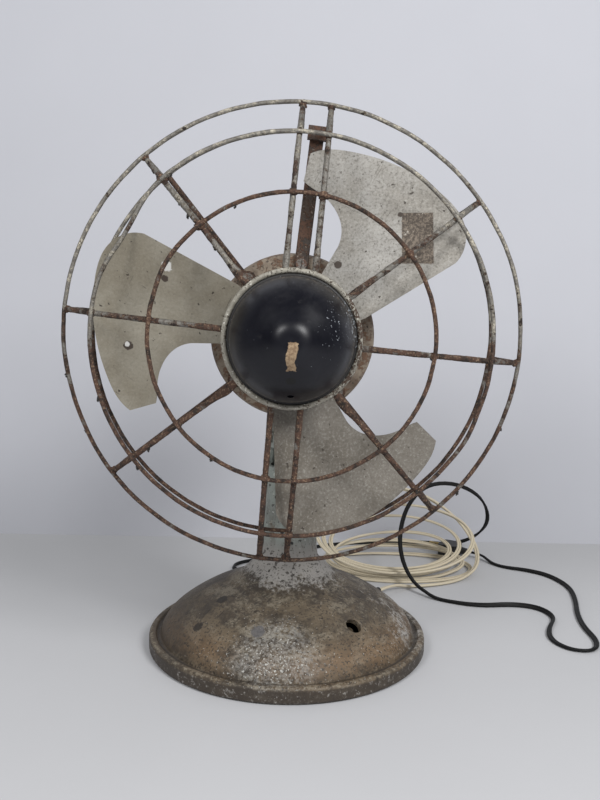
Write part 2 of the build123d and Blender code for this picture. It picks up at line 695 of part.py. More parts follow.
def top_stay_clamp():
    """Small clip that closes over the rear ring at the top stay."""
    low = REAR_RING_Z - RING_WIRE
    clip = block((REAR_RING - 6, -7.5, low), (REAR_RING + 4.5, 7.5, REAR_RING_Z + 4))
    clip -= Pos(0, 0, REAR_RING_Z) * Torus(REAR_RING, RING_WIRE + 0.02) & clip
    return stood_up(Rot(0, 0, TOP_STAY_ANGLE) * clip)


def stay_screws():
    """Screws through the stays into the motor front."""
    end = 44.0
    top = REAR_RING_Z - RING_WIRE - STAY_WIRE + 1.4
    shape = Pos(STAY_HOLE_CIRCLE, 0, top) * screw(4.6, 2.6, STAY_SCREW_RADIUS, top - end)
    screws = around(STAY_ANGLES, shape)
    top = REAR_RING_Z - RING_WIRE
    shape = Pos(STAY_HOLE_CIRCLE, 0, top) * screw(4.4, 2.4, STAY_SCREW_RADIUS, top - end)
    screws += around((TOP_STAY_ANGLE,), shape)
    return one(stood_up(screws))


def nose_cap():
    """Domed cap that sits in the hub ring, with one small hole below its tip."""
    seat, shoulder, rim = HUB_RING_BACK + 1, 140.5, HUB_RING_INNER - FIT
    tip_inside = CAP_TIP - 2.7
    ways = [(0.05, 1), (-1, -0.12)]
    outer = Spline((44.0, shoulder), (41.0, 156.0), (32.0, 172.5), (17.0, 185.0), (0, CAP_TIP),
                   tangents=ways)
    inner = Spline((41.6, shoulder), (38.6, 155.0), (30.2, 170.2), (15.8, 182.2),
                   (0, tip_inside), tangents=ways)
    foot = Polyline((41.6, shoulder), (41.6, seat), (rim, seat), (rim, 139.0), (44.6, 139.8),
                    (44.0, shoulder))
    shell = turned_edges(outer, Line((0, CAP_TIP), (0, tip_inside)), inner, foot)
    shell -= Pos(0, -32, 160) * Rot(55, 0, 0) * rod(2.4, -10, 30)
    return stood_up(shell)


def cap_clips():
    """Bent clips that hold the cap in the hub ring from behind."""
    back = HUB_RING_BACK
    clip = block((38, -4, back - 1.2), (HUB_RING_OUTER - 1.4, 4, back))
    clip += block((38, -4, back - 1.2), (39.2, 4, back + 1.0))
    return one(stood_up(around(CAP_CLIP_ANGLES, clip)))


# ---- cords ------------------------------------------------------------------------
def report(name, path, solid, width):
    """Prints a cord's length and how its volume compares with section times length."""
    share = solid.volume / (pi * width**2 / 4 * path.length)
    print(f"{name}: length {path.length:.0f} mm, volume share {share:.4f}")


def cord_tube(name, points, width):
    """Tube along straight runs joined by arcs as large as the runs allow."""
    corners = [Vector(*point) for point in points]
    radii = []
    for before, corner, after in zip(corners, corners[1:], corners[2:]):
        turn = radians((corner - before).get_angle(after - corner))
        shorter = min((corner - before).length, (after - corner).length)
        radii.append(ARC_SHARE * shorter / tan(turn / 2))
    path = FilletPolyline(*corners, radius=radii)
    solid = wire_sweep(path, width / 2)
    print(f"{name}: radii {[round(radius, 1) for radius in radii]}")
    report(name, path, solid, width)
    return solid


def ease(share):
    """Smooth step from 0 to 1."""
    share = max(0.0, min(1.0, share))
    return share * share * (3 - 2 * share)


def coil_point(turn):
    """Centre line of the loose loops after a number of turns.

    The loops spiral in on the upper layer and out again on the lower one. They lie
    together in front and fan out towards the back, the first ones steepest.
    """
    angle = radians(COIL_START_ANGLE) + 2 * pi * turn
    spread = COIL_SPREAD - COIL_SPACING * min(turn, 2 * COIL_REVERSE - turn)
    layer = COIL_LAYER * (ease(turn / 0.25) - ease((turn - COIL_REVERSE + 0.25) / 0.5))
    left = max(0.0, COIL_TURNS - turn) / (COIL_TURNS - COIL_RISE)
    tilt = radians(COIL_TILT) * min(ease(turn / COIL_RISE), left**1.25)
    half_width = COIL_HALF_WIDTH + spread + COIL_UNEVEN * sin(1.9 * turn)
    half_depth = COIL_HALF_DEPTH + 0.7 * spread + COIL_UNEVEN * sin(2.6 * turn + 1)
    middle = COIL_X + COIL_UNEVEN * sin(1.3 * turn + 0.6)
    reach = half_depth * (1 + sin(angle))
    return Vector(middle + half_width * cos(angle), COIL_FRONT_Y - spread + reach * cos(tilt),
                  COIL_FLOOR + layer + reach * sin(tilt))


def coil_way(turn):
    """Direction of the loops' centre line after a number of turns."""
    step = 0.0001
    return (coil_point(turn + step) - coil_point(turn - step)).normalized()


def coil_end(turn, side):
    """End of the coil's tube, one cord width straight past its first or last loop."""
    return coil_point(turn) + coil_way(turn) * (side * CREAM_WIDTH)


def biarc(start, start_way, end, end_way):
    """Two arcs that leave start and reach end in the given directions."""
    chord = end - start
    spare = 2 * (1 - start_way.dot(end_way))
    ahead = chord.dot(start_way + end_way)
    reach = (sqrt(ahead**2 + spare * chord.dot(chord)) - ahead) / spare
    first = start + start_way * reach
    second = end - end_way * reach
    joint = (first + second) / 2
    return [TangentArc(start, joint, tangent=start_way),
            TangentArc(joint, end, tangent=second - first)]


def least_gap(edges, width):
    """Least clear gap of a tube to itself, measured on points along its edges."""
    spots, places, place = [], [], 0.0
    for edge in edges:
        for number in range(40):
            spots.append(tuple(edge @ (number / 40)))
            places.append(place + edge.length * number / 40)
        place += edge.length
    near = 8 * width
    gaps = [dist(spots[i], spots[j]) for i in range(0, len(spots), 2)
            for j in range(i + 1, len(spots)) if places[j] - places[i] > near]
    return min(gaps) - width


def cream_coil():
    """The heap of loops as one unbroken tube, on biarcs of a quarter turn."""
    spans = round(4 * COIL_TURNS)
    turns = [number / 4 for number in range(spans + 1)]
    edges = [Line(coil_end(0, -1), coil_point(0))]
    for start, end in zip(turns, turns[1:]):
        edges += biarc(coil_point(start), coil_way(start), coil_point(end), coil_way(end))
    edges.append(Line(coil_point(COIL_TURNS), coil_end(COIL_TURNS, 1)))
    path = Wire(edges)
    solid = wire_sweep(path, CREAM_WIDTH / 2)
    print(f"cream_coil: least gap to itself {least_gap(edges, CREAM_WIDTH):.2f} mm")
    report("cream_coil", path, solid, CREAM_WIDTH)
    return solid


def cream_lead():
    """From the grommet to the heap of loops."""
    return cord_tube("cream_lead", [*CREAM_LEAD, coil_end(0, -1)], CREAM_WIDTH)


def cream_tail():
    """From the heap of loops to the joiner."""
    return cord_tube("cream_tail", [coil_end(COIL_TURNS, 1), *CREAM_TAIL], CREAM_WIDTH)


def black_cord():
    """From the joiner round the heap, over it, along the table and back to the plug."""
    return cord_tube("black_cord", BLACK_ROUTE, BLACK_WIDTH)


def along_route(start, end):
    """Frame at end with z up and x in the direction that a route arrives in."""
    way = Vector(*end) - Vector(*start)
    return Plane(end, x_dir=way, z_dir=(0, 0, 1))


def cord_joiner():
    """In-line joiner where the cream cord ends and the black one begins."""
    half, height = JOINER_WIDTH / 2, JOINER_HEIGHT / 2
    body = block((2, -half, -height), (JOINER_LENGTH - 2, half, height))
    body = fillet(body.edges().filter_by(Axis.X), 2.5)
    for low, high in ((0, 3), (JOINER_LENGTH - 3, JOINER_LENGTH)):
        body += Rot(0, 90, 0) * rod(4.2, low, high)
    return along_route(*CREAM_TAIL[-2:]) * body


def plug_pin_places():
    """Frames of the two pins on the plug's face, z out of the plug."""
    face = Pos(PLUG_LENGTH, 0, 0)
    return [face * Pos(0, side * PIN_PITCH / 2, 0) * Rot(0, 90, 0) for side in (-1, 1)]


def plug_body():
    """Two-pin plug: a block with a round neck for the cord."""
    half, height = PLUG_WIDTH / 2, PLUG_HEIGHT / 2
    body = block((PLUG_NECK, -half, -height), (PLUG_LENGTH, half, height))
    body = fillet(body.edges().filter_by(Axis.Z), 4)
    body += Rot(0, 90, 0) * Pos(0, 0, PLUG_NECK / 2 + 1) * Cone(3.6, 5.4, PLUG_NECK + 2)
    for place in plug_pin_places():
        body -= place * rod(PIN_RADIUS, -PIN_DEPTH, 1)
    return along_route(*BLACK_ROUTE[-2:]) * body


def plug_pins():
    pins = [place * rod(PIN_RADIUS, -PIN_DEPTH, PIN_LENGTH) for place in plug_pin_places()]
    return one(along_route(*BLACK_ROUTE[-2:]) * pin for pin in pins)


# ---- writing ----------------------------------------------------------------------
NODES = {
    "base_casting": base_casting,
    "base_plate": base_plate,
    "base_plate_screws": base_plate_screws,
    "base_felt": base_felt,
    "switch_body": switch_body,
    "switch_spindle": switch_spindle,
    "switch_posts": switch_posts,
    "terminal_block": terminal_block,
    "terminal_screws": terminal_screws,
    "cord_grommet": cord_grommet,
    "inner_supply_lead": inner_supply_lead,
    "neck_cable": neck_cable,
    "tilt_bolt": tilt_bolt,
    "tilt_washer": tilt_washer,
    "wing_nut": wing_nut,
    "motor_front_housing": motor_front_housing,
    "motor_rear_housing": motor_rear_housing,
    "oiler_cap": oiler_cap,
    "housing_bolts": housing_bolts,
    "front_bearing": front_bearing,
    "rear_bearing": rear_bearing,
    "thrust_washers": thrust_washers,
    "stator_core": stator_core,
    "stator_windings": stator_windings,
    "rotor_core": rotor_core,
    "rotor_end_rings": rotor_end_rings,
    "motor_shaft": motor_shaft,
    "tilt_lug": tilt_lug,
    "lug_screws": lug_screws,
    "blade_hub": blade_hub,
    "hub_set_screw": hub_set_screw,
    "blade_rivets": blade_rivets,
    "guard_outer_ring": lambda: ring(OUTER_RING, OUTER_RING_Z),
    "guard_front_ring": lambda: ring(FRONT_RING, FRONT_RING_Z),
    "guard_inner_ring": lambda: ring(INNER_RING, INNER_RING_Z),
    "guard_rear_ring": lambda: ring(REAR_RING, REAR_RING_Z),
    "guard_hub_ring": guard_hub_ring,
    "guard_spokes": guard_spokes,
    "rear_stays": rear_stays,
    "top_stay": top_stay,
    "top_stay_clamp": top_stay_clamp,
    "stay_screws": stay_screws,
    "nose_cap": nose_cap,
    "cap_clips": cap_clips,
    "cream_lead": cream_lead,
    "cream_coil": cream_coil,
    "cream_tail": cream_tail,
    "cord_joiner": cord_joiner,
    "black_cord": black_cord,
    "plug_body": plug_body,
    "plug_pins": plug_pins,
}


def main():
    os.makedirs("parts", exist_ok=True)
    for name, make in NODES.items():
        export_step(make(), f"parts/{name}.step")
    for number, angle in enumerate(BLADE_ANGLES, 1):
        export_step(blade(angle), f"parts/blade_{number}.step")


main()
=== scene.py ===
"""Looks of an old mains desk fan: worn castings, rusty guard wires and two twin flexes."""

from __future__ import annotations

import json
import logging
import math
import random
from dataclasses import dataclass, field
from enum import Enum

import bmesh
import bpy
from mathutils import Matrix, Vector, noise

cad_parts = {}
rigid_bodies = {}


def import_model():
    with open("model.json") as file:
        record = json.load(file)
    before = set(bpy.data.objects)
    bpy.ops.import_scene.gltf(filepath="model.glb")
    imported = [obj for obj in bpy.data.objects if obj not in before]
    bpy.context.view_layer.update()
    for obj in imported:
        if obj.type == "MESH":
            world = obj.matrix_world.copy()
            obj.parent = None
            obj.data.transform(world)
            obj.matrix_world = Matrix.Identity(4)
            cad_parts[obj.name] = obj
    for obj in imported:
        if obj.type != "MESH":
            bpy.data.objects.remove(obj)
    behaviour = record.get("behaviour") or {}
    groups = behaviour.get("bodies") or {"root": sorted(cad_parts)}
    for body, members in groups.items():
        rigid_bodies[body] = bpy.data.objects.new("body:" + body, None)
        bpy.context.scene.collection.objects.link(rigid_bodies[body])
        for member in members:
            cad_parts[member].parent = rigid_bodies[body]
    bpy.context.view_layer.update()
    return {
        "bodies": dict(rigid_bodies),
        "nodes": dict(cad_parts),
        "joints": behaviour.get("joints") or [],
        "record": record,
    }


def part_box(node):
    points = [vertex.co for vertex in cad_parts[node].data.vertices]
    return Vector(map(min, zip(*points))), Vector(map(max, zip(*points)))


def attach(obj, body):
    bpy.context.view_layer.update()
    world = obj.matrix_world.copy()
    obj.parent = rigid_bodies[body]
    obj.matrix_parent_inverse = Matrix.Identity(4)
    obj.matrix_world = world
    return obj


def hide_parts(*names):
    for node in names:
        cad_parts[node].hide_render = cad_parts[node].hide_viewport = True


LOG = logging.getLogger("desk_fan")
MM = 0.001

Colour = tuple[float, float, float]
Point = tuple[float, float, float]


# ---- shader kit -------------------------------------------------------------------
class Signal:
    """A shader socket on which Python's operators add Math nodes."""

    def __init__(self, shader: "Shader", socket: bpy.types.NodeSocket) -> None:
        """Keeps the socket and the shader it belongs to."""
        self.shader = shader
        self.socket = socket

    def math(self, operation: str, *values: "Signal | float") -> "Signal":
        """Adds one Math node.

        Args:
            operation: the Math node's operation.
            values: the node's inputs in order.

        Returns:
            The node's result.
        """
        return self.shader.node("ShaderNodeMath", {"operation": operation},
                                dict(enumerate(values)))

    def __add__(self, other: "Signal | float") -> "Signal":
        """Sum."""
        return self.math("ADD", self, other)

    def __sub__(self, other: "Signal | float") -> "Signal":
        """Difference."""
        return self.math("SUBTRACT", self, other)

    def __rsub__(self, other: float) -> "Signal":
        """Difference from a number."""
        return self.math("SUBTRACT", other, self)

    def __mul__(self, other: "Signal | float") -> "Signal":
        """Product."""
        return self.math("MULTIPLY", self, other)

    def __truediv__(self, other: "Signal | float") -> "Signal":
        """Quotient."""
        return self.math("DIVIDE", self, other)

    __radd__ = __add__
    __rmul__ = __mul__

    def power(self, exponent: float) -> "Signal":
        """Raised to a power."""
        return self.math("POWER", self, exponent)

    def size(self) -> "Signal":
        """Absolute value."""
        return self.math("ABSOLUTE", self)

    def ramp(self, low: float, high: float) -> "Signal":
        """Smooth step from 0 at low to 1 at high; low may be the larger one."""
        if low > high:
            return 1 - self.ramp(high, low)
        return self.shader.node(
            "ShaderNodeMapRange", {"interpolation_type": "SMOOTHSTEP"},
            {"Value": self, "From Min": low, "From Max": high})

    def near(self, middle: float, reach: float) -> "Signal":
        """1 at a value, falling smoothly to 0 at a reach from it."""
        return (self - middle).size().ramp(reach, 0.0)


class Shader:
    """Builds one procedural material, or the world's light, on Object coordinates."""

    def __init__(self, name: str, world: bool = False) -> None:
        """Starts an empty material or world of that name."""
        self.holder = (bpy.data.worlds if world else bpy.data.materials).new(name)
        self.holder.use_nodes = True
        self.out = "ShaderNodeOutputWorld" if world else "ShaderNodeOutputMaterial"
        self.tree = self.holder.node_tree
        self.tree.nodes.clear()
        self.place = self.node("ShaderNodeTexCoord", output="Object")

    def node(self, kind: str, settings: dict | None = None, inputs: dict | None = None,
             output: int | str = 0) -> Signal:
        """Adds one node.

        Args:
            kind: the node's type.
            settings: attributes that are set before its sockets.
            inputs: sockets by name or number, with a value or a signal for each.
            output: the output that is wanted.

        Returns:
            That output.
        """
        made = self.tree.nodes.new(kind)
        for name, value in (settings or {}).items():
            setattr(made, name, value)
        for key, value in (inputs or {}).items():
            if isinstance(value, Signal):
                self.tree.links.new(value.socket, made.inputs[key])
            elif isinstance(value, tuple) and made.inputs[key].type == "RGBA":
                made.inputs[key].default_value = (*value, 1.0)
            else:
                made.inputs[key].default_value = value
        return Signal(self, made.outputs[output])

    def axes(self, place: Signal | None = None) -> tuple[Signal, Signal, Signal]:
        """The three parts of a place."""
        parts = self.node("ShaderNodeSeparateXYZ", inputs={0: place or self.place})
        outputs = parts.socket.node.outputs
        return parts, Signal(self, outputs[1]), Signal(self, outputs[2])

    def joined(self, x: Signal | float, y: Signal | float, z: Signal | float) -> Signal:
        """A place from its three parts."""
        return self.node("ShaderNodeCombineXYZ", inputs={0: x, 1: y, 2: z})

    def moved(self, at: Point, turn: Point = (0, 0, 0), scale: Point = (1, 1, 1)) -> Signal:
        """Object coordinates with a new origin, turned and stretched."""
        settings = {"vector_type": "TEXTURE"}
        return self.node("ShaderNodeMapping", settings,
                         {"Vector": self.place, "Location": at, "Rotation": turn,
                          "Scale": scale})

    def noise(self, size: float, detail: float = 4.0, rough: float = 0.6,
              bend: float = 0.0, at: Signal | None = None) -> Signal:
        """Cloudy noise with patches of a size in metres."""
        return self.node("ShaderNodeTexNoise", None,
                         {"Vector": at or self.place, "Scale": 1 / size, "Detail": detail,
                          "Roughness": rough, "Distortion": bend})

    def flecks(self, size: float, share: Signal | float, soft: float = 0.03) -> Signal:
        """Irregular flecks of a size in metres; share 0 gives none and 1 covers half."""
        return (self.noise(size, 2, 0.55) + share * 0.26).ramp(0.76, 0.76 + soft)

    def away(self, at: Point, place: Signal | None = None) -> Signal:
        """Distance from a place, in metres."""
        return self.node("ShaderNodeVectorMath", {"operation": "DISTANCE"},
                         {0: place or self.place, 1: at}, "Value")

    def spot(self, at: Point, reach: float) -> Signal:
        """A round patch that fades out at a reach from a place."""
        return self.away(at).ramp(reach, reach * 0.15)

    def mix(self, share: Signal | float, first: Signal | Colour,
            second: Signal | Colour) -> Signal:
        """One colour turning into another as share goes from 0 to 1."""
        return self.node("ShaderNodeMix", {"data_type": "RGBA"},
                         {0: share, 6: first, 7: second}, 2)

    def painted(self, colour: Signal | Colour, rough: Signal | float, height: Signal,
                depth: float = 0.0003, metal: Signal | float = 0.0, coat: float = 0.0,
                extra: dict | None = None) -> bpy.types.Material:
        """Closes the material with one Principled shader.

        Args:
            colour: the surface's colour.
            rough: its roughness.
            height: its relief, from 0 to 1.
            depth: what the relief measures, in metres.
            metal: its share of metal.
            coat: the weight of a clear coat.
            extra: more of the shader's sockets.

        Returns:
            The finished material.
        """
        relief = self.node("ShaderNodeBump", None,
                           {"Height": height, "Distance": depth, "Strength": 1.0})
        sockets = {"Base Color": colour, "Roughness": rough, "Metallic": metal,
                   "Coat Weight": coat, "Coat Roughness": 0.12, "Normal": relief}
        sockets.update(extra or {})
        surface = self.node("ShaderNodeBsdfPrincipled", None, sockets)
        return self.closed(surface)

    def closed(self, surface: Signal) -> bpy.types.Material | bpy.types.World:
        """Links a surface to the output and returns what holds it."""
        out = self.tree.nodes.new(self.out)
        self.tree.links.new(surface.socket, out.inputs["Surface"])
        return self.holder


# ---- finishes ---------------------------------------------------------------------
@dataclass(frozen=True)
class WornMetal:
    """Painted or bare metal with stains, specks and rust.

    The colours go from the sound surface through its stains to its specks and rust.
    """

    name: str
    sound: Colour
    stain: Colour
    speck: Colour
    rust: Colour
    rusted: float = 0.3
    rough: float = 0.55
    metal: float = 0.0
    patch: float = 0.02
    grain: float = 0.0016
    depth: float = 0.0002

    def material(self) -> bpy.types.Material:
        """The finished material."""
        s = Shader(self.name)
        cloud = s.noise(self.patch, 5)
        fine = s.noise(self.grain, 3)
        rust = (s.noise(self.patch * 0.6, 6, 0.7) + fine * 0.25).ramp(
            0.83 - self.rusted * 0.5, 0.93 - self.rusted * 0.5)
        specks = s.flecks(self.grain * 1.4, cloud)
        colour = s.mix(cloud.ramp(0.35, 0.7), self.sound, self.stain)
        colour = s.mix(specks * 0.8, colour, self.speck)
        colour = s.mix(rust, colour, self.rust)
        rough = self.rough + (cloud - 0.5) * 0.25 + rust * 0.25
        metal = (1 - rust) * self.metal
        return s.painted(colour, rough, fine * 0.5 + rust * 0.5 - specks * 0.4, self.depth,
                         metal)


@dataclass(frozen=True)
class Moulding:
    """Plastic, rubber, felt or fibre with a fine grain and some dust."""

    name: str
    body: Colour
    dust: Colour
    rough: float = 0.5
    grain: float = 0.0008
    depth: float = 0.00005
    coat: float = 0.0

    def material(self) -> bpy.types.Material:
        """The finished material."""
        s = Shader(self.name)
        cloud = s.noise(0.012, 5)
        grain = s.noise(self.grain, 3)
        colour = s.mix(cloud.ramp(0.45, 0.8) * 0.6, self.body, self.dust)
        return s.painted(colour, self.rough + (cloud - 0.5) * 0.3, grain + cloud * 0.5,
                         self.depth, coat=self.coat)


@dataclass(frozen=True)
class CastEnamel:
    """Enamel of the base and neck: mottled brown dome, chipped grey flare, pale neck."""

    name: str = "cast_enamel"
    dark: Colour = (0.042, 0.032, 0.022)
    brown: Colour = (0.118, 0.090, 0.058)
    tan: Colour = (0.215, 0.185, 0.138)
    ochre: Colour = (0.170, 0.100, 0.047)
    grey: Colour = (0.330, 0.315, 0.295)
    pale: Colour = (0.250, 0.275, 0.250)
    white: Colour = (0.62, 0.61, 0.57)
    neck_stain: Colour = (0.165, 0.168, 0.150)
    neck_speck: Colour = (0.48, 0.50, 0.46)
    near_black: Colour = (0.024, 0.018, 0.013)
    bloom: Colour = (0.330, 0.330, 0.315)
    edge: Colour = (0.040, 0.030, 0.022)
    scar: Colour = (0.020, 0.015, 0.011)
    chip: Colour = (0.018, 0.020, 0.018)
    blue_grey: Colour = (0.085, 0.083, 0.090)
    flange_radius: float = 0.1235
    lip_height: float = 0.0137
    groove_radius: float = 0.1155
    dusty: Point = (-0.008, -0.098, 0.030)
    dusty_reach: float = 0.056
    scratched: Point = (-0.0560, -0.0600, 0.0440)
    scratched_reach: float = 0.028
    blue_spot: Point = (-0.0230, -0.0827, 0.0415)
    scars: tuple[tuple[Point, float], ...] = (
        ((-0.0560, -0.0389, 0.0513), 0.0090), ((-0.0739, -0.0599, 0.0355), 0.0085))
    chips: tuple[tuple[Point, float], ...] = (
        ((-0.0098, -0.0195, 0.137), 0.0048), ((-0.0078, -0.0205, 0.131), 0.0044),
        ((0.003, -0.026, 0.098), 0.0034), ((0.012, -0.024, 0.103), 0.0030),
        ((-0.014, -0.021, 0.104), 0.0040), ((-0.006, -0.024, 0.107), 0.0028))

    def material(self) -> bpy.types.Material:
        """The finished material."""
        s = Shader(self.name)
        x, y, z = s.axes()
        radius = (x * x + y * y).power(0.5)
        cloud = s.noise(0.050, 4, 0.6)
        patch = s.noise(0.015, 7, 0.70, 0.5)
        streak = s.noise(0.030, 6, 0.68, 0.3, s.joined(x, y, z * 3.0))
        fine = s.noise(0.0030, 4, 0.7)
        grain = s.noise(0.0011, 3, 0.7)
        colour = s.mix((patch * 0.7 + cloud * 0.5).ramp(0.50, 0.72), self.dark, self.brown)
        colour = s.mix((streak + fine * 0.45).ramp(0.70, 0.88) * 0.75, colour, self.tan)
        low = z.near(0.024, 0.018) * (cloud * 0.7 + fine * 0.5).ramp(0.44, 0.72)
        colour = s.mix(low * 0.7, colour, self.ochre)
        # Darker lower left of the dome: partly its darker paint, partly painted shade as if the
        # light fell from the right. The same mask takes away some grey wear and dust there.
        left = x.ramp(-0.045, -0.105) * z.ramp(0.070, 0.050)
        colour = s.mix(left * 0.62, colour, self.dark)
        flare = z.ramp(0.050, 0.078)
        right = (x + z * 0.8).ramp(0.085, 0.130)
        worn = (patch * 0.8 + fine * 0.6 + flare * 0.46 + right * 0.27 - left * 0.1).ramp(
            0.90, 1.06)
        colour = s.mix(worn * 0.85, colour, self.grey)
        neck = z.ramp(0.086, 0.104)
        drips = s.noise(0.010, 5, 0.7, 0.3, s.joined(x, y, z * 0.3))
        clean = s.mix(drips.ramp(0.42, 0.64), self.pale, self.neck_stain)
        clean = s.mix((drips + patch * 0.8).ramp(1.02, 1.12), clean, self.brown)
        clean = s.mix((fine + grain * 0.4).ramp(0.82, 0.90), clean, self.neck_speck)
        colour = s.mix(neck, colour, clean)
        heap = s.spot(self.dusty, self.dusty_reach)
        band = z.near(0.022, 0.018)
        pepper = s.flecks(0.0021, 0.50 + patch * 0.35 - neck * 0.25 - flare * 0.12)
        colour = s.mix(pepper * 0.85, colour, self.dark)
        crumbs = s.flecks(0.0044, 0.22 + flare * 0.20 + patch * 0.25 - neck * 0.12)
        colour = s.mix(crumbs * 0.8, colour, self.near_black)
        share = heap * 0.30 + band * 0.18 + right * 0.12 + patch * 0.35 - left * 0.3
        dust = s.flecks(0.0017, share + 0.12, 0.09)
        colour = s.mix(dust * (0.45 + heap * 0.35), colour, self.white)
        bloom = (heap + patch * 0.8 + band * 0.2).ramp(0.75, 1.3) * fine.ramp(0.40, 0.60)
        colour = s.mix(bloom * 0.40, colour, self.bloom)
        colour = self._marks(s, colour, fine)
        side = radius.ramp(self.flange_radius - 0.0035, self.flange_radius - 0.001)
        side = side * z.ramp(0.0128, 0.0105)
        colour = s.mix(side * 0.80, colour, self.edge)
        colour = s.mix(side * (fine + patch * 0.4).ramp(0.76, 0.86) * 0.6, colour, self.grey)
        # Tan along the lip: worn paint in patches, kept light as a painted highlight on the lip's
        # edge.
        lip = radius.near(self.flange_radius - 0.002, 0.0035) * z.near(self.lip_height, 0.0028)
        colour = s.mix(lip * (fine + patch * 0.6).ramp(0.78, 0.90) * 0.8, colour, self.tan)
        # The groove near the foot is darkened almost to black.
        groove = radius.near(self.groove_radius, 0.0024) * z.ramp(0.018, 0.0145)
        colour = s.mix(groove * 0.85, colour, self.near_black)
        rough = 0.50 + (cloud - 0.5) * 0.3 + fine * 0.2 - neck * 0.06
        height = fine * 0.5 + grain * 0.3 - crumbs * 0.5 + dust * 0.4 + worn * 0.4 + patch * 0.5
        return s.painted(colour, rough, height, 0.0005)

    def _marks(self, s: Shader, colour: Signal, fine: Signal) -> Signal:
        """Single marks: two dark scars with scratches, a blue-grey spot, chips on the neck."""
        for at, reach in self.scars:
            scar = (s.spot(at, reach) + (fine - 0.5) * 1.3).ramp(0.50, 0.62)
            colour = s.mix(scar * 0.9, colour, self.scar)
        strip = s.moved(self.scratched, (0.9, 0.0, 0.3))
        along, _, across = s.axes(strip)
        lines = s.noise(0.0020, 1, 0.5, 0.0, s.joined(along * 0.10, across, 0.0)).ramp(0.64, 0.68)
        window = s.spot(self.scratched, self.scratched_reach).ramp(0.2, 0.5)
        colour = s.mix(lines * window * 0.8, colour, self.scar)
        blue = (s.spot(self.blue_spot, 0.0085) + (fine - 0.5) * 0.8).ramp(0.25, 0.45)
        colour = s.mix(blue * 0.75, colour, self.blue_grey)
        for at, reach in self.chips:
            chip = (s.spot(at, reach) + (fine - 0.5) * 0.9).ramp(0.40, 0.50)
            colour = s.mix(chip, colour, self.chip)
        return colour


@dataclass(frozen=True)
class BladePaint:
    """Grey-green enamel of one blade, with its specks and its own marks."""

    name: str
    sound: Colour
    stain: Colour
    speckled: float
    marks: tuple[tuple[tuple[float, float], float, Colour], ...] = ()
    residue: tuple[float, float, float, float] | None = None
    dark: Colour = (0.080, 0.070, 0.057)
    light: Colour = (0.50, 0.49, 0.45)
    pit: Colour = (0.040, 0.030, 0.021)
    hairline: Colour = (0.055, 0.044, 0.034)
    glue_tones: tuple[Colour, Colour, Colour] = (
        (0.055, 0.040, 0.028), (0.185, 0.148, 0.112), (0.40, 0.37, 0.32))

    def material(self) -> bpy.types.Material:
        """The finished material."""
        s = Shader(self.name)
        x, _, z = s.axes()
        cloud = s.noise(0.045, 5, 0.6)
        patch = s.noise(0.012, 6, 0.68)
        fine = s.noise(0.0019, 4, 0.75)
        colour = s.mix((cloud + patch * 0.4).ramp(0.55, 0.85), self.sound, self.stain)
        colour = s.mix(fine.ramp(0.50, 0.66) * self.speckled, colour, self.dark)
        colour = s.mix(fine.ramp(0.46, 0.36) * self.speckled * 0.5, colour, self.light)
        pits = s.flecks(0.0040, 0.14 + patch * 0.22)
        colour = s.mix(pits * 0.9, colour, self.pit)
        lines = self._hairlines(s, cloud)
        colour = s.mix(lines * 0.65, colour, self.hairline)
        if self.residue:
            inside = self._inside(x, z, (fine - 0.5) * 0.0022)
            deep, middle, crust = self.glue_tones
            glue = s.mix(fine.ramp(0.42, 0.62), deep, middle)
            glue = s.mix((patch + fine * 0.6).ramp(0.92, 1.0), glue, crust)
            colour = s.mix(inside, colour, glue)
        flat = s.joined(x, 0.0, z)
        for at, reach, tone in self.marks:
            away = s.away((at[0], 0.0, at[1]), flat)
            spot = (away / reach + (fine - 0.5) * 1.1 + (patch - 0.5) * 0.8).ramp(1.05, 0.8)
            colour = s.mix(spot, colour, tone)
        rough = 0.50 + (cloud - 0.5) * 0.2 + fine * 0.2
        return s.painted(colour, rough, fine * 0.6 - pits * 0.7 + patch * 0.4, 0.0002)

    def _hairlines(self, s: Shader, cloud: Signal) -> Signal:
        """Thin scratches in two directions, only here and there."""
        found: Signal | float = 0.0
        for turn in (0.6, 2.1):
            along, _, across = s.axes(s.moved((0, 0, 0), (0.0, turn, 0.0)))
            thin = s.noise(0.0016, 1, 0.5, 0.0, s.joined(along * 0.07, 0.0, across))
            where = s.noise(0.020, 2, 0.5, 0.0, s.joined(along, turn, across))
            found = thin.ramp(0.67, 0.71) * where.ramp(0.52, 0.60) + found
        return found * cloud.ramp(0.3, 0.6)

    def _inside(self, x: Signal, z: Signal, edge: Signal) -> Signal:
        """Share of the old glue patch, with a ragged edge."""
        left, right, low, high = self.residue
        soft = 0.0006
        x, z = x + edge, z + edge
        inside = x.ramp(left, left + soft) * x.ramp(right, right - soft)
        return inside * z.ramp(low, low + soft) * z.ramp(high, high - soft)


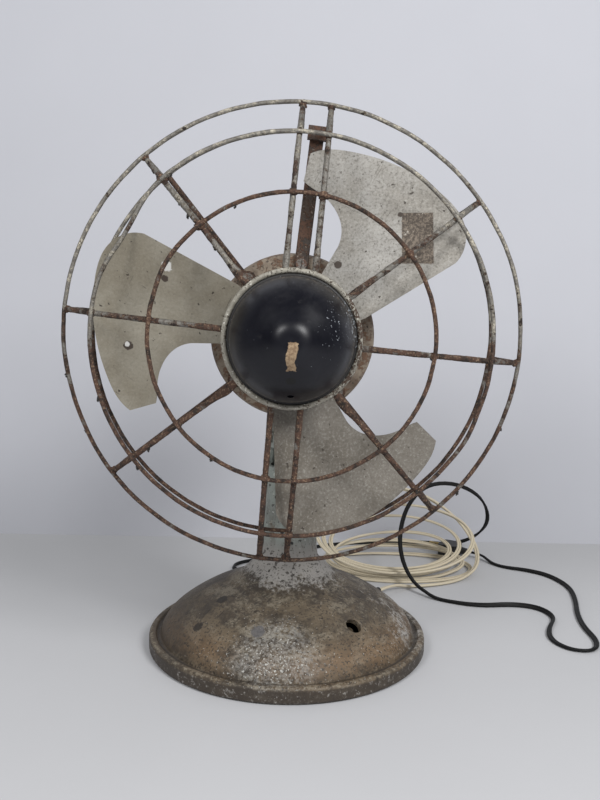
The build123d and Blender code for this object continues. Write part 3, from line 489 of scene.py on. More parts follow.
@dataclass(frozen=True)
class GuardWire:
    """Plated steel wire: grey where the plating holds, cream in patches, rust elsewhere.

    The share of rust goes from top_rust at the top of the guard to low_rust at its foot.
    """

    name: str
    axis_height: float
    top_rust: float
    low_rust: float
    plating: Colour = (0.175, 0.164, 0.146)
    cream: Colour = (0.47, 0.430, 0.345)
    rust: Colour = (0.072, 0.036, 0.022)
    black: Colour = (0.018, 0.012, 0.009)
    dull: Colour = (0.085, 0.072, 0.058)
    flake: Colour = (0.25, 0.165, 0.105)
    half_height: float = 0.16

    def material(self) -> bpy.types.Material:
        """The finished material."""
        s = Shader(self.name)
        _, _, z = s.axes()
        height = z.ramp(self.axis_height - self.half_height, self.axis_height + self.half_height)
        patch = s.noise(0.026, 5, 0.65)
        blot = s.noise(0.0065, 5, 0.7)
        fine = s.noise(0.0016, 3, 0.7)
        share = height * (self.top_rust - self.low_rust) + self.low_rust
        rust = (patch + blot * 0.5 + share * 0.6).ramp(0.92, 1.02)
        colour = s.mix((blot + fine * 0.4).ramp(0.66, 0.80), self.plating, self.cream)
        colour = s.mix(fine.ramp(0.50, 0.60) * 0.8, colour, self.dull)
        flaky = s.mix((blot + fine * 0.5).ramp(0.70, 0.86), self.rust, self.black)
        flaky = s.mix((fine - blot * 0.3).ramp(0.40, 0.48) * 0.75, flaky, self.flake)
        colour = s.mix(rust, colour, flaky)
        rough = 0.48 + rust * 0.34 + (fine - 0.5) * 0.2
        return s.painted(colour, rough, fine * 0.7 + rust * blot * 1.4, 0.0010,
                         (1 - rust) * 0.35)


@dataclass(frozen=True)
class BandPaint:
    """Dirty cream and silver paint of the band round the nose cap."""

    name: str = "band_paint"
    silver: Colour = (0.185, 0.172, 0.142)
    cream: Colour = (0.370, 0.350, 0.295)
    dirt: Colour = (0.115, 0.100, 0.078)
    rust: Colour = (0.060, 0.036, 0.024)
    white: Colour = (0.62, 0.60, 0.54)

    def material(self) -> bpy.types.Material:
        """The finished material."""
        s = Shader(self.name)
        x, _, z = s.axes()
        patch = s.noise(0.012, 6, 0.70)
        fine = s.noise(0.0021, 4, 0.7)
        colour = s.mix((patch + fine * 0.3).ramp(0.50, 0.80), self.silver, self.cream)
        colour = s.mix((patch * 0.6 + fine * 0.8).ramp(0.70, 0.84) * 0.85, colour, self.dirt)
        right = (x - z * 0.3 + 0.09).ramp(0.015, 0.05)
        chips = (fine + patch * 0.6 + right * 0.12).ramp(0.88, 0.96)
        colour = s.mix(chips, colour, self.rust)
        colour = s.mix(s.flecks(0.0018, 0.45), colour, self.white)
        rough = 0.42 + fine * 0.25 + chips * 0.2
        return s.painted(colour, rough, fine * 0.6 + patch * 0.5 - chips * 0.6, 0.0006)


@dataclass(frozen=True)
class CapGloss:
    """Glossy blue-black cap with a scraped patch, white nicks and a dusty rim."""

    axis_height: float
    name: str = "cap_gloss"
    deep: Colour = (0.0025, 0.0027, 0.0060)
    cloudy: Colour = (0.0065, 0.0068, 0.0110)
    dust: Colour = (0.060, 0.056, 0.050)
    haze: Colour = (0.034, 0.033, 0.033)
    scuffed: Colour = (0.045, 0.043, 0.042)
    nick: Colour = (0.36, 0.39, 0.42)
    rust: Colour = (0.14, 0.11, 0.085)
    scraped: tuple[Colour, Colour] = ((0.185, 0.120, 0.070), (0.345, 0.250, 0.155))
    hole_shade: Colour = (0.001, 0.001, 0.001)
    hole_drop: float = 0.0245
    hole_depth: float = 0.176

    def material(self) -> bpy.types.Material:
        """The finished material."""
        s = Shader(self.name)
        x, y, z = s.axes()
        up = z - self.axis_height
        radius = (x * x + up * up).power(0.5)
        cloud = s.noise(0.018, 6, 0.65, 0.3)
        fine = s.noise(0.0022, 3, 0.7)
        colour = s.mix(cloud.ramp(0.4, 0.75), self.deep, self.cloudy)
        rim = radius.ramp(0.0385, 0.0435)
        colour = s.mix(rim * (cloud * 0.7 + 0.1), colour, self.dust)
        haze = (up + x * 0.15).ramp(0.012, 0.036) * cloud.ramp(0.42, 0.66)
        colour = s.mix(haze * 0.22, colour, self.haze)
        scuff = s.flecks(0.0075, 0.30 + rim * 0.3, 0.10)
        colour = s.mix(scuff * 0.20, colour, self.scuffed)
        side = x.ramp(0.008, 0.028) * up.near(0.012, 0.030)
        nicks = s.flecks(0.0015, side * 0.42 + rim * 0.30)
        colour = s.mix(nicks * 0.8, colour, self.nick)
        ring = radius.near(0.0430, 0.0014) * fine.ramp(0.50, 0.62)
        colour = s.mix(ring * 0.8, colour, self.rust)
        patch = self._patch(x, up, y, fine, cloud)
        tan = s.mix((fine + cloud * 0.5).ramp(0.58, 0.92), *self.scraped)
        colour = s.mix(patch, colour, tan)
        # Painted shade: a near-black spot stands in for the depth of the small hole below the
        # tip.
        hole_shade = s.spot((0.0, -self.hole_depth, self.axis_height - self.hole_drop), 0.0060)
        pit = (hole_shade + (fine - 0.5) * 0.4).ramp(0.25, 0.40)
        colour = s.mix(pit, colour, self.hole_shade)
        rough = 0.27 + cloud * 0.18 + rim * 0.2 + nicks * 0.3 + patch * 0.35
        height = 0.6 - patch * 0.6 + nicks * 0.4 + fine * 0.08
        return s.painted(colour, rough, height, 0.00025, extra={"Specular IOR Level": 0.36})

    def _patch(self, x: Signal, up: Signal, y: Signal, fine: Signal, cloud: Signal) -> Signal:
        """The long scraped patch below the tip."""
        rag = (fine - 0.5) * 0.0026 + (cloud - 0.5) * 0.0090
        lean = x + up * -0.05 - 0.0008
        wide = (lean + rag).size().ramp(0.0036, 0.0031)
        tall = (up + 0.0102 + rag).size().ramp(0.0098, 0.0093)
        return wide * tall * y.ramp(-0.15, -0.16)


@dataclass(frozen=True)
class FlexCover:
    """Aged plastic of a twin flex, darker along its groove: dirt, and painted shade in the crease
    between its cores.
    """

    name: str
    clean: Colour
    grime_and_crease_shade: Colour
    rough: float
    shine: float = 0.5

    def material(self) -> bpy.types.Material:
        """The finished material."""
        s = Shader(self.name)
        groove = s.node("ShaderNodeAttribute", {"attribute_name": "groove"}, None, "Fac")
        patch = s.noise(0.022, 5, 0.65)
        fine = s.noise(0.003, 4, 0.7)
        # The groove mask darkens the crease between the cores as painted shade; the patches add
        # dirt.
        dirt = (groove * 0.55 + patch * 0.55 + fine * 0.25).ramp(0.55, 0.95)
        colour = s.mix(dirt * 0.85, self.clean, self.grime_and_crease_shade)
        return s.painted(colour, self.rough + patch * 0.2, fine * 0.4 - groove * 0.4, 0.0001,
                         extra={"Specular IOR Level": self.shine})


class Finish(Enum):
    """The material slots of the record, each with its finish."""

    PLATE_STEEL = WornMetal("plate_steel", (0.045, 0.042, 0.040), (0.075, 0.065, 0.055),
                            (0.16, 0.14, 0.12), (0.10, 0.055, 0.033))
    SCREW_STEEL = WornMetal("screw_steel", (0.26, 0.24, 0.22), (0.15, 0.13, 0.11),
                            (0.08, 0.06, 0.05), (0.11, 0.06, 0.04), 0.45, 0.45, 0.6, 0.006)
    POST_STEEL = WornMetal("post_steel", (0.34, 0.33, 0.32), (0.24, 0.22, 0.20),
                           (0.12, 0.10, 0.09), (0.13, 0.07, 0.04), 0.15, 0.4, 0.8, 0.008)
    BOLT_STEEL = WornMetal("bolt_steel", (0.36, 0.35, 0.33), (0.22, 0.20, 0.17),
                           (0.10, 0.08, 0.07), (0.14, 0.075, 0.045), 0.28, 0.4, 0.7, 0.008)
    SHAFT_STEEL = WornMetal("shaft_steel", (0.55, 0.55, 0.55), (0.42, 0.40, 0.38),
                            (0.22, 0.20, 0.18), (0.16, 0.10, 0.07), 0.1, 0.3, 0.95, 0.02)
    LAMINATION_STEEL = WornMetal("lamination_steel", (0.30, 0.30, 0.31), (0.20, 0.19, 0.18),
                                 (0.12, 0.10, 0.09), (0.13, 0.07, 0.04), 0.2, 0.5, 0.7)
    SPINDLE_BRASS = WornMetal("spindle_brass", (0.085, 0.062, 0.034), (0.045, 0.034, 0.022),
                              (0.02, 0.016, 0.012), (0.030, 0.022, 0.015), 0.4, 0.6, 0.4, 0.006)
    OILER_BRASS = WornMetal("oiler_brass", (0.42, 0.29, 0.12), (0.22, 0.15, 0.08),
                            (0.09, 0.07, 0.05), (0.10, 0.08, 0.05), 0.2, 0.45, 0.85, 0.01)
    BEARING_BRONZE = WornMetal("bearing_bronze", (0.38, 0.22, 0.10), (0.22, 0.13, 0.07),
                               (0.08, 0.06, 0.04), (0.10, 0.07, 0.04), 0.1, 0.4, 0.9, 0.01)
    PIN_BRASS = WornMetal("pin_brass", (0.62, 0.47, 0.20), (0.42, 0.31, 0.14),
                          (0.16, 0.12, 0.07), (0.20, 0.14, 0.08), 0.1, 0.35, 0.95, 0.006)
    WINDING_COPPER = WornMetal("winding_copper", (0.42, 0.17, 0.07), (0.25, 0.11, 0.05),
                               (0.10, 0.05, 0.03), (0.10, 0.06, 0.03), 0.1, 0.35, 0.6, 0.02)
    END_RING_ALUMINIUM = WornMetal("end_ring_aluminium", (0.55, 0.55, 0.56), (0.42, 0.42, 0.42),
                                   (0.25, 0.25, 0.25), (0.30, 0.29, 0.28), 0.05, 0.45, 0.9)
    RIVET_ALUMINIUM = WornMetal("rivet_aluminium", (0.42, 0.42, 0.40), (0.28, 0.27, 0.25),
                                (0.12, 0.11, 0.10), (0.15, 0.12, 0.10), 0.15, 0.45, 0.7, 0.004)
    HUB_PAINT = WornMetal("hub_paint", (0.17, 0.16, 0.135), (0.11, 0.095, 0.075),
                          (0.05, 0.04, 0.03), (0.10, 0.055, 0.035), 0.3, 0.55, 0.0, 0.012)
    STAY_PAINT = WornMetal("stay_paint", (0.034, 0.024, 0.018), (0.075, 0.048, 0.034),
                           (0.24, 0.19, 0.15), (0.095, 0.050, 0.032), 0.5, 0.6, 0.0, 0.012,
                           0.0018, 0.0006)
    MOTOR_PAINT = WornMetal("motor_paint", (0.275, 0.225, 0.170), (0.125, 0.090, 0.064),
                            (0.045, 0.032, 0.024), (0.150, 0.088, 0.056), 0.42, 0.62, 0.0, 0.013,
                            0.0018, 0.0006)
    BASE_FELT = Moulding("base_felt", (0.030, 0.040, 0.026), (0.07, 0.065, 0.05), 0.95, 0.0006,
                         0.0004)
    SWITCH_MOULDING = Moulding("switch_moulding", (0.016, 0.010, 0.007), (0.05, 0.04, 0.03), 0.45)
    TERMINAL_CERAMIC = Moulding("terminal_ceramic", (0.66, 0.62, 0.52), (0.40, 0.34, 0.25), 0.4)
    GROMMET_RUBBER = Moulding("grommet_rubber", (0.014, 0.013, 0.012), (0.06, 0.052, 0.042), 0.7)
    INNER_CABLE = Moulding("inner_cable", (0.018, 0.017, 0.016), (0.05, 0.045, 0.04), 0.6)
    WASHER_FIBRE = Moulding("washer_fibre", (0.20, 0.055, 0.025), (0.10, 0.05, 0.03), 0.7)
    JOINER_MOULDING = Moulding("joiner_moulding", (0.030, 0.012, 0.007), (0.07, 0.05, 0.035),
                               0.32, coat=0.3)
    PLUG_MOULDING = Moulding("plug_moulding", (0.011, 0.011, 0.011), (0.05, 0.048, 0.044), 0.42)

    @classmethod
    def of_slot(cls, slot: str) -> "Finish | None":
        """The finish that bears a slot's name, if it is one of these."""
        return cls.__members__.get(slot.upper())


# ---- swept wires ------------------------------------------------------------------
def smooth_line(name: str, points: list[Point], steps: int) -> list[Vector]:
    """Points read from a smooth spline, in metres.

    Args:
        name: a name for the spline while it is read.
        points: its control points in millimetres.
        steps: points between two control points.
    """
    curve = bpy.data.curves.new(name, "CURVE")
    curve.dimensions = "3D"
    spline = curve.splines.new("NURBS")
    spline.points.add(len(points) - 1)
    for control, point in zip(spline.points, points):
        control.co = (*(value * MM for value in point), 1.0)
    spline.order_u = 3
    spline.use_endpoint_u = True
    spline.resolution_u = steps
    holder = bpy.data.objects.new(name, curve)
    mesh = bpy.data.meshes.new_from_object(holder)
    line = [vertex.co.copy() for vertex in mesh.vertices]
    bpy.data.objects.remove(holder)
    bpy.data.meshes.remove(mesh)
    return line


def skinned(form: bmesh.types.BMesh, rings: list[list[Vector]]) -> list[list]:
    """Joins rings of points into one closed skin and returns their vertices."""
    rows = [[form.verts.new(point) for point in ring] for ring in rings]
    form.faces.new(rows[0])
    form.faces.new(rows[-1])
    for first, second in zip(rows, rows[1:]):
        for number in range(len(first)):
            after = (number + 1) % len(first)
            form.faces.new((first[number], first[after], second[after], second[number]))
    return rows


# ---- cords ------------------------------------------------------------------------
CREAM_LEAD = [(95.1, 113.4, 8.4), (107.3, 127.9, 8.4), (129, 144, 4.0), (156.9, 150.9, 2.65)]
CREAM_TAIL = [(43.5, 248.8, 2.65), (22.5, 226.6, 5.5), (9.0, 216.6, 5.5)]
BLACK_ROUTE = [
    (-15.1, 198.7, 5.5), (-27.2, 189.8, 5.5), (-43, 181, 2.5), (-59, 186, 2.5),
    (-66, 202, 2.5), (-58, 219, 2.5), (-37, 232, 2.5), (-8, 252, 2.5), (18, 278, 2.5),
    (50, 300, 2.5), (92, 313, 2.5), (138, 317, 2.5), (180, 317, 2.5), (214, 306, 4),
    (238, 288, 20), (247, 263, 47), (232, 241, 81), (197, 228, 101), (160, 219, 101),
    (135, 200, 81), (123, 176, 51), (125, 151, 25), (138, 125, 7), (162, 105, 2.5),
    (196, 90, 2.5), (233, 96, 2.5), (258, 86, 2.5), (265, 60, 2.5), (250, 34, 2.5),
    (243, 8, 2.5), (254, -15, 2.5), (276, -17, 2.5), (286, 5, 2.5), (285, 38, 2.5),
    (291, 73, 2.5), (303, 111, 2.5), (311, 153, 2.5), (300, 192, 2.5), (279, 210, 2.5),
    (260, 218, 2.5), (248, 229, 2.5), (242, 242, 4.5), (233, 256, 7), (220.3, 264, 7),
]


def ease(share: float) -> float:
    """Smooth step from 0 to 1."""
    share = max(0.0, min(1.0, share))
    return share * share * (3 - 2 * share)


@dataclass
class LooseHeap:
    """The heap of loops of the cream flex, in millimetres, wound as its solid is."""

    start_angle: float = -54.0
    turns: float = 6.5
    reverse: float = 3.45
    spacing: float = 9.6
    spread: float = 11.0
    half_width: float = 90.0
    half_depth: float = 53.0
    middle: float = 122.0
    front: float = 162.0
    floor: float = 3.1
    layer: float = 7.0
    tilt: float = 46.5
    rise: float = 0.45
    uneven: float = 1.5
    points_a_turn: int = 14

    def point(self, turn: float) -> Point:
        """Centre line after a number of turns."""
        angle = math.radians(self.start_angle) + 2 * math.pi * turn
        spread = self.spread - self.spacing * min(turn, 2 * self.reverse - turn)
        layer = self.layer * (ease(turn / 0.25) - ease((turn - self.reverse + 0.25) / 0.5))
        left = max(0.0, self.turns - turn) / (self.turns - self.rise)
        tilt = math.radians(self.tilt) * min(ease(turn / self.rise), left**1.25)
        wide = self.half_width + spread + self.uneven * math.sin(1.9 * turn)
        deep = self.half_depth + 0.7 * spread + self.uneven * math.sin(2.6 * turn + 1)
        middle = self.middle + self.uneven * math.sin(1.3 * turn + 0.6)
        reach = deep * (1 + math.sin(angle))
        return (middle + wide * math.cos(angle), self.front - spread + reach * math.cos(tilt),
                self.floor + layer + reach * math.sin(tilt))

    def points(self) -> list[Point]:
        """The whole heap's control points."""
        count = round(self.turns * self.points_a_turn)
        return [self.point(self.turns * number / count) for number in range(count + 1)]


@dataclass
class TwinFlex:
    """A flat twin flex: two round cores side by side, swept along a smooth line."""

    name: str
    route: list[Point]
    width: float
    thickness: float
    rolls: tuple[tuple[float, float, float], ...]
    lying_below: float = 0.006
    settling: float = 0.003
    clearance: float = 0.0003
    straight_end: float = 0.03
    core_points: int = 9

    def section(self) -> list[tuple[float, float, float]]:
        """Outline across the flex: (sideways, upwards, share of groove)."""
        core = self.thickness / 2
        centre = self.width / 2 - core
        meet = math.acos(-centre / core)
        outline = []
        for side in (1, -1):
            for number in range(self.core_points):
                angle = side * (-meet + 2 * meet * number / (self.core_points - 1))
                if side == -1 and number in (0, self.core_points - 1):
                    continue
                across = side * (centre + core * math.cos(angle))
                deep = max(0.0, 1 - abs(across) / (0.55 * centre))
                outline.append((across, core * math.sin(angle) * side, deep))
        return sorted(outline, key=lambda spot: math.atan2(spot[1], spot[0]))

    def roll(self, along: float) -> float:
        """How far the flex is turned about its line at a length from its start."""
        return sum(size * math.sin(2 * math.pi * along / span + start)
                   for size, span, start in self.rolls)

    def build(self) -> tuple[bpy.types.Object, list[Vector]]:
        """Sweeps the section along the line.

        Returns:
            The piece, and the points that its middle follows.
        """
        line = smooth_line(self.name + "_line", self.route, 5)
        outline = self.section()
        total = sum((b - a).length for a, b in zip(line, line[1:]))
        rings: list[list[Vector]] = []
        path: list[Vector] = []
        along = 0.0
        for number, spot in enumerate(line):
            before, after = line[max(0, number - 1)], line[min(len(line) - 1, number + 1)]
            way = (after - before).normalized()
            side = way.cross(Vector((0, 0, 1))).normalized()
            up = side.cross(way)
            along += (spot - before).length
            calm = min(1.0, along / self.straight_end, (total - along) / self.straight_end)
            angle = self.roll(along) * max(0.0, calm)
            wide = side * math.cos(angle) + up * math.sin(angle)
            tall = up * math.cos(angle) - side * math.sin(angle)
            ring = [spot + wide * across + tall * high for across, high, _ in outline]
            rise = self.clearance - min(point.z for point in ring)
            lying = ease((self.lying_below - spot.z) / self.settling)
            lift = Vector((0, 0, max(rise, 0.0) + min(rise, 0.0) * lying))
            rings.append([point + lift for point in ring])
            path.append(spot + lift)
        return self._skin(rings, [deep for _, _, deep in outline]), path

    def _skin(self, rings: list[list[Vector]], grooves: list[float]) -> bpy.types.Object:
        """Joins the rings into one closed mesh with its groove attribute."""
        form = bmesh.new()
        layer = form.verts.layers.float.new("groove")
        for row in skinned(form, rings):
            for vertex, groove in zip(row, grooves):
                vertex[layer] = groove
        return finished(self.name, form)


# ---- shared mesh work -------------------------------------------------------------
def finished(name: str, form: bmesh.types.BMesh, smooth: bool = True,
             clean: bool = True) -> bpy.types.Object:
    """Turns a bmesh into a linked object at the origin, with outward faces."""
    if clean:
        bmesh.ops.remove_doubles(form, verts=form.verts, dist=1e-7)
        bmesh.ops.recalc_face_normals(form, faces=form.faces)
    mesh = bpy.data.meshes.new(name)
    form.to_mesh(mesh)
    form.free()
    for face in mesh.polygons:
        face.use_smooth = smooth
    piece = bpy.data.objects.new(name, mesh)
    bpy.context.scene.collection.objects.link(piece)
    return piece


def lumpy_ball(form: bmesh.types.BMesh, centre: Vector, size: float, fineness: int,
               grain: float, rough: float, shape: Matrix | None = None) -> None:
    """Adds a small ball with an uneven skin.

    Args:
        form: the mesh it goes into.
        centre: its middle.
        size: its radius, in metres.
        fineness: how often its faces are divided.
        grain: lumps to a metre.
        rough: how much of the radius a lump may add.
        shape: a turn and a stretch of the ball.
    """
    place = Matrix.Translation(centre) @ (shape or Matrix.Identity(4))
    made = bmesh.ops.create_icosphere(form, subdivisions=fineness, radius=size, matrix=place)
    for vertex in made["verts"]:
        vertex.co += (vertex.co - centre) * noise.noise(vertex.co * grain) * rough


def dressed(piece: bpy.types.Object, material: bpy.types.Material, body: str) -> bpy.types.Object:
    """Gives a new piece its material and body."""
    piece.data.materials.clear()
    piece.data.materials.append(material)
    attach(piece, body)
    LOG.info("piece %s on %s", piece.name, body)
    return piece


# ---- the fan ----------------------------------------------------------------------
@dataclass
class Guard:
    """The wire guard: bent and lumpy rings, weld beads and hanging fluff.

    Places on it are (radius, angle, distance along the axis) in millimetres and degrees,
    seen from the front.
    """

    axis_height: float
    wire: float = 1.6
    spoke_wire: float = 2.1
    spoke_angles: tuple[float, ...] = (37.0, -6.3, -49.5, 218.0, 172.5, 129.0)
    pair_angles: tuple[float, ...] = (84.0, 266.0)
    pair_gap: float = 21.0
    rings: dict[str, tuple[float, float]] = field(init=False)
    dents: dict[str, tuple[tuple[float, float, float], ...]] = field(default_factory=lambda: {
        "guard_front_ring": ((149.0, 11.0, -5.5), (330.0, 9.0, 1.2)),
        "guard_outer_ring": ((20.0, 12.0, 0.9), (200.0, 14.0, -0.9)),
        "guard_inner_ring": ((150.0, 10.0, 0.9), (300.0, 12.0, -0.8)),
        "guard_rear_ring": ((160.0, 10.0, 0.8), (350.0, 12.0, -0.9))})
    profile: tuple[tuple[float, float], ...] = (
        (48.4, 136.6), (60.0, 135.4), (80.0, 133.4), (96.2, 131.7), (102.2, 131.1),
        (108.0, 129.5), (122.0, 125.5), (137.2, 121.2), (143.0, 119.6), (147.7, 115.8),
        (161.4, 104.7), (168.4, 99.0), (166.9, 90.1), (162.5, 64.3), (161.5, 58.4))
    leans: dict[float, float] = field(default_factory=lambda: {
        129.0: 4.0, -6.3: 3.0, 172.5: 4.0, 84.0: 2.5, 218.0: -1.0})
    kinks: dict[float, float] = field(default_factory=lambda: {
        129.0: 2.0, 218.0: 1.2, -49.5: -1.4, 37.0: 0.5})
    flattened: dict[float, float] = field(default_factory=lambda: {
        129.0: 0.60, 218.0: 0.70, -49.5: 0.80, 37.0: 0.30})
    dusty: tuple[Point, ...] = (
        (145.4, 126.0, 121.8), (102.0, 112.0, 134.5), (97.5, -5.5, 130.0),
        (146.4, 196.0, 121.8), (172.8, 206.0, 95.0), (146.0, 219.0, 121.8),
        (172.8, 318.0, 95.0), (146.0, 312.0, 121.8), (102.2, 236.0, 134.5),
        (172.6, 338.0, 95.0), (118.0, 131.0, 126.0), (128.0, 131.2, 124.0),
        (128.0, 217.8, 124.0), (86.0, 130.0, 132.0), (172.8, 190.0, 95.0),
        (160.0, 130.5, 106.0))

    lumps: tuple[tuple[float, float], ...] = ((420.0, 0.16), (60.0, 0.35))
    ring_steps: int = 240
    ring_sides: int = 10
    spoke_steps: int = 14
    spoke_sides: int = 12
    hub_radius: float = 50.0
    spoke_reach: float = 118.0

    def __post_init__(self) -> None:
        """Reads each ring's radius and its distance along the axis from the frame."""
        self.rings = {}
        for name in self.dents:
            low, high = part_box(name)
            self.rings[name] = ((high.x - low.x) / 2 / MM - self.wire,
                                -(low.y + high.y) / 2 / MM)

    def spot(self, radius: float, angle: float, depth: float) -> Vector:
        """Place in the fan's frame, in metres."""
        turn = math.radians(angle)
        return Vector((radius * math.cos(turn) * MM, -depth * MM,
                       self.axis_height + radius * math.sin(turn) * MM))

    def wires(self) -> list[tuple[float, float]]:
        """Every front wire's angle, and how far to the side of that angle it runs."""
        paired = [(angle, side * self.pair_gap / 2) for angle in self.pair_angles
                  for side in (-1, 1)]
        return [(angle, 0.0) for angle in self.spoke_angles] + paired

    def dent(self, name: str, angle: float) -> float:
        """How far a ring is pushed outwards at an angle, in millimetres."""
        return sum(push * math.exp(-(((angle - at + 180) % 360 - 180) / wide) ** 2)
                   for at, wide, push in self.dents[name])

    def ring(self, name: str) -> bpy.types.Object:
        """One ring of wire with its dents and a slightly lumpy skin."""
        radius, depth = self.rings[name]
        form = bmesh.new()
        centre = self.spot(0, 0, depth)
        upright = Matrix.Translation(self.spot(radius, 0, depth))
        corners = bmesh.ops.create_circle(form, segments=self.ring_sides,
                                          radius=self.wire * MM, matrix=upright)["verts"]
        edges = list({edge for corner in corners for edge in corner.link_edges})
        bmesh.ops.spin(form, geom=corners + edges, cent=centre, axis=(0, 1, 0),
                       angle=2 * math.pi, steps=self.ring_steps, use_merge=True,
                       use_duplicate=False)
        for vertex in form.verts:
            out = vertex.co - centre
            flat = Vector((out.x, 0, out.z))
            push = self.dent(name, math.degrees(math.atan2(out.z, out.x)))
            lump = sum(noise.noise(vertex.co * scale) * size for scale, size in self.lumps)
            vertex.co += flat.normalized() * ((push + lump) * MM)
        piece = finished(name + "_wire", form)
        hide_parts(name)
        return piece

    def spoke_at(self, angle: float, offset: float, radius: float, depth: float) -> Point:
        """Place on a spoke, in millimetres, with the lean that age gave it."""
        lean = self.leans.get(angle, 0.0) * (radius - self.hub_radius) / self.spoke_reach
        lean += self.kinks.get(angle, 0.0) * math.exp(-((radius - 66.0) / 12.0) ** 2)
        along, side = math.sqrt(radius**2 - offset**2), offset + lean
        turn = math.radians(angle)
        return (along * math.cos(turn) - side * math.sin(turn), -depth,
                along * math.sin(turn) + side * math.cos(turn) + self.axis_height / MM)

    def spokes(self) -> bpy.types.Object:
        """All ten bent front wires, with lumps and flattened inner ends."""
        form = bmesh.new()
        for number, (angle, offset) in enumerate(self.wires()):
            route = [self.spoke_at(angle, offset, radius, depth)
                     for radius, depth in self.profile]
            line = smooth_line("spoke_line", route, self.spoke_steps)
            rings = []
            for place, spot in enumerate(line):
                way = line[min(place + 1, len(line) - 1)] - line[max(place - 1, 0)]
                rings.append(self.across_spoke(spot, way.normalized(), angle, number))
            skinned(form, rings)
        piece = finished("guard_spoke_wires", form)
        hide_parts("guard_spokes")
        return piece

    def across_spoke(self, spot: Vector, way: Vector, angle: float,
                     number: int) -> list[Vector]:
        """Outline of one spoke at a point: lumpy, and flattened where it meets the hub ring."""
        turned = math.radians(angle)
        side = Vector((-math.sin(turned), 0, math.cos(turned)))
        wide = (side - way * side.dot(way)).normalized()
        tall = wide.cross(way)
        reach = math.hypot(spot.x, spot.z - self.axis_height) / MM
        flat = math.exp(-(((reach - 58.0) / 9.0) ** 2)) * self.flattened.get(angle, 0.15)
        swell = noise.noise(spot * 95 + Vector((0, 9, 0))) * 0.12
        size = self.spoke_wire * MM * (1 + swell)
        outline = []
        for step in range(self.spoke_sides):
            turn = 2 * math.pi * step / self.spoke_sides
            out = (wide * math.cos(turn) * (1 + flat)
                   + tall * math.sin(turn) * (1 - flat * 0.35)) * size
            rough = noise.noise((spot + out) * 700 + Vector((number, 0, 0))) * 0.10 * size
            outline.append(spot + out + out.normalized() * rough)
        return outline

    def crossings(self) -> list[Vector]:
        """Where the spokes are welded to the rings."""
        spots = []
        for name in ("guard_front_ring", "guard_inner_ring", "guard_outer_ring"):
            radius, depth = self.rings[name]
            inwards, behind = (2.0, 0.0) if name == "guard_outer_ring" else (0.0, 1.8)
            for angle, offset in self.wires():
                spots.append(Vector(self.spoke_at(angle, offset, radius - inwards,
                                                  depth - behind)) * MM)
        return spots

    def welds(self, draw: random.Random) -> bpy.types.Object:
        """Small uneven beads of weld at the crossings."""
        form = bmesh.new()
        for centre in self.crossings():
            size = draw.uniform(2.2, 3.0) * MM
            turn = Matrix.Rotation(draw.uniform(0, math.pi), 4, "Y")
            stretch = Matrix.Diagonal((draw.uniform(0.9, 1.3), 0.8, draw.uniform(0.9, 1.3), 1))
            lumpy_ball(form, centre, size, 3, 900, 0.5, turn @ stretch)
        return finished("guard_welds", form)

    def fluff(self, draw: random.Random, wires: list[bpy.types.Object]) -> bpy.types.Object:
        """Clots of old dust that hang from the nearest wire of the guard."""
        skin = [vertex.co for wire in wires for vertex in wire.data.vertices]
        form = bmesh.new()
        for radius, angle, depth in self.dusty:
            wanted = self.spot(radius, angle, depth)
            nearest = min(skin, key=lambda point: (point - wanted).length_squared)
            near = [point for point in skin if (point - nearest).length < 0.004]
            top = min(near, key=lambda point: point.z).copy()
            drop = -0.0006
            for _ in range(draw.randint(3, 5)):
                size = draw.uniform(0.5, 1.0) * MM
                centre = top - Vector((draw.uniform(-0.6, 0.6) * MM, draw.uniform(-0.4, 0.4) * MM,
                                       drop))
                lumpy_ball(form, centre, size, 2, 2500, 0.9)
                drop += size * 0.9
        return finished("guard_fluff", form)

    def build(self) -> None:
        """Makes and dresses every piece of the guard."""
        height = self.axis_height
        plated = GuardWire("guard_wire_plated", height, 0.10, 0.62).material()
        front = GuardWire("guard_wire_front", height, 0.12, 0.72).material()
        rusty = GuardWire("guard_wire_rusty", height, 0.70, 0.80).material()
        looks = {"guard_outer_ring": plated, "guard_front_ring": front,
                 "guard_inner_ring": rusty, "guard_rear_ring": front}
        wires = [dressed(self.ring(name), look, "head")
                 for name, look in looks.items()]
        bent = GuardWire("guard_wire_spokes", height, 0.30, 0.66).material()
        wires.append(dressed(self.spokes(), bent, "head"))
        draw = random.Random(7)
        dressed(self.welds(draw), rusty, "head")
        fluff = Moulding("dust_fluff", (0.022, 0.020, 0.018), (0.09, 0.08, 0.07), 0.95, 0.0006,
                         0.0003).material()
        dressed(self.fluff(draw, wires), fluff, "head")


@dataclass
class Cords:
    """Both flexes, each on its own route."""

    cream_width: float = 5.3 * MM
    black_width: float = 5.0 * MM

    def build(self) -> None:
        cream = FlexCover("cream_cover", (0.60, 0.53, 0.395), (0.20, 0.150, 0.090), 0.42)
        route = CREAM_LEAD + LooseHeap().points() + CREAM_TAIL
        flex = TwinFlex("cream_flex_line", route, self.cream_width, 2.9 * MM,
                        ((0.55, 0.43, 0.4), (0.35, 0.19, 1.7)))
        piece, path = flex.build()
        dressed(piece, cream.material(), "stand")
        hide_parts("cream_lead", "cream_coil", "cream_tail")
        tuple(value * MM for value in route[0])
        black = FlexCover("black_cover", (0.005, 0.005, 0.005), (0.020, 0.018, 0.016), 0.42,
                          0.25)
        flex = TwinFlex("black_flex_line", BLACK_ROUTE, self.black_width, 2.8 * MM,
                        ((0.75, 0.52, 0.9), (0.40, 0.23, 0.2)))
        piece, path = flex.build()
        dressed(piece, black.material(), "stand")
        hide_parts("black_cord")


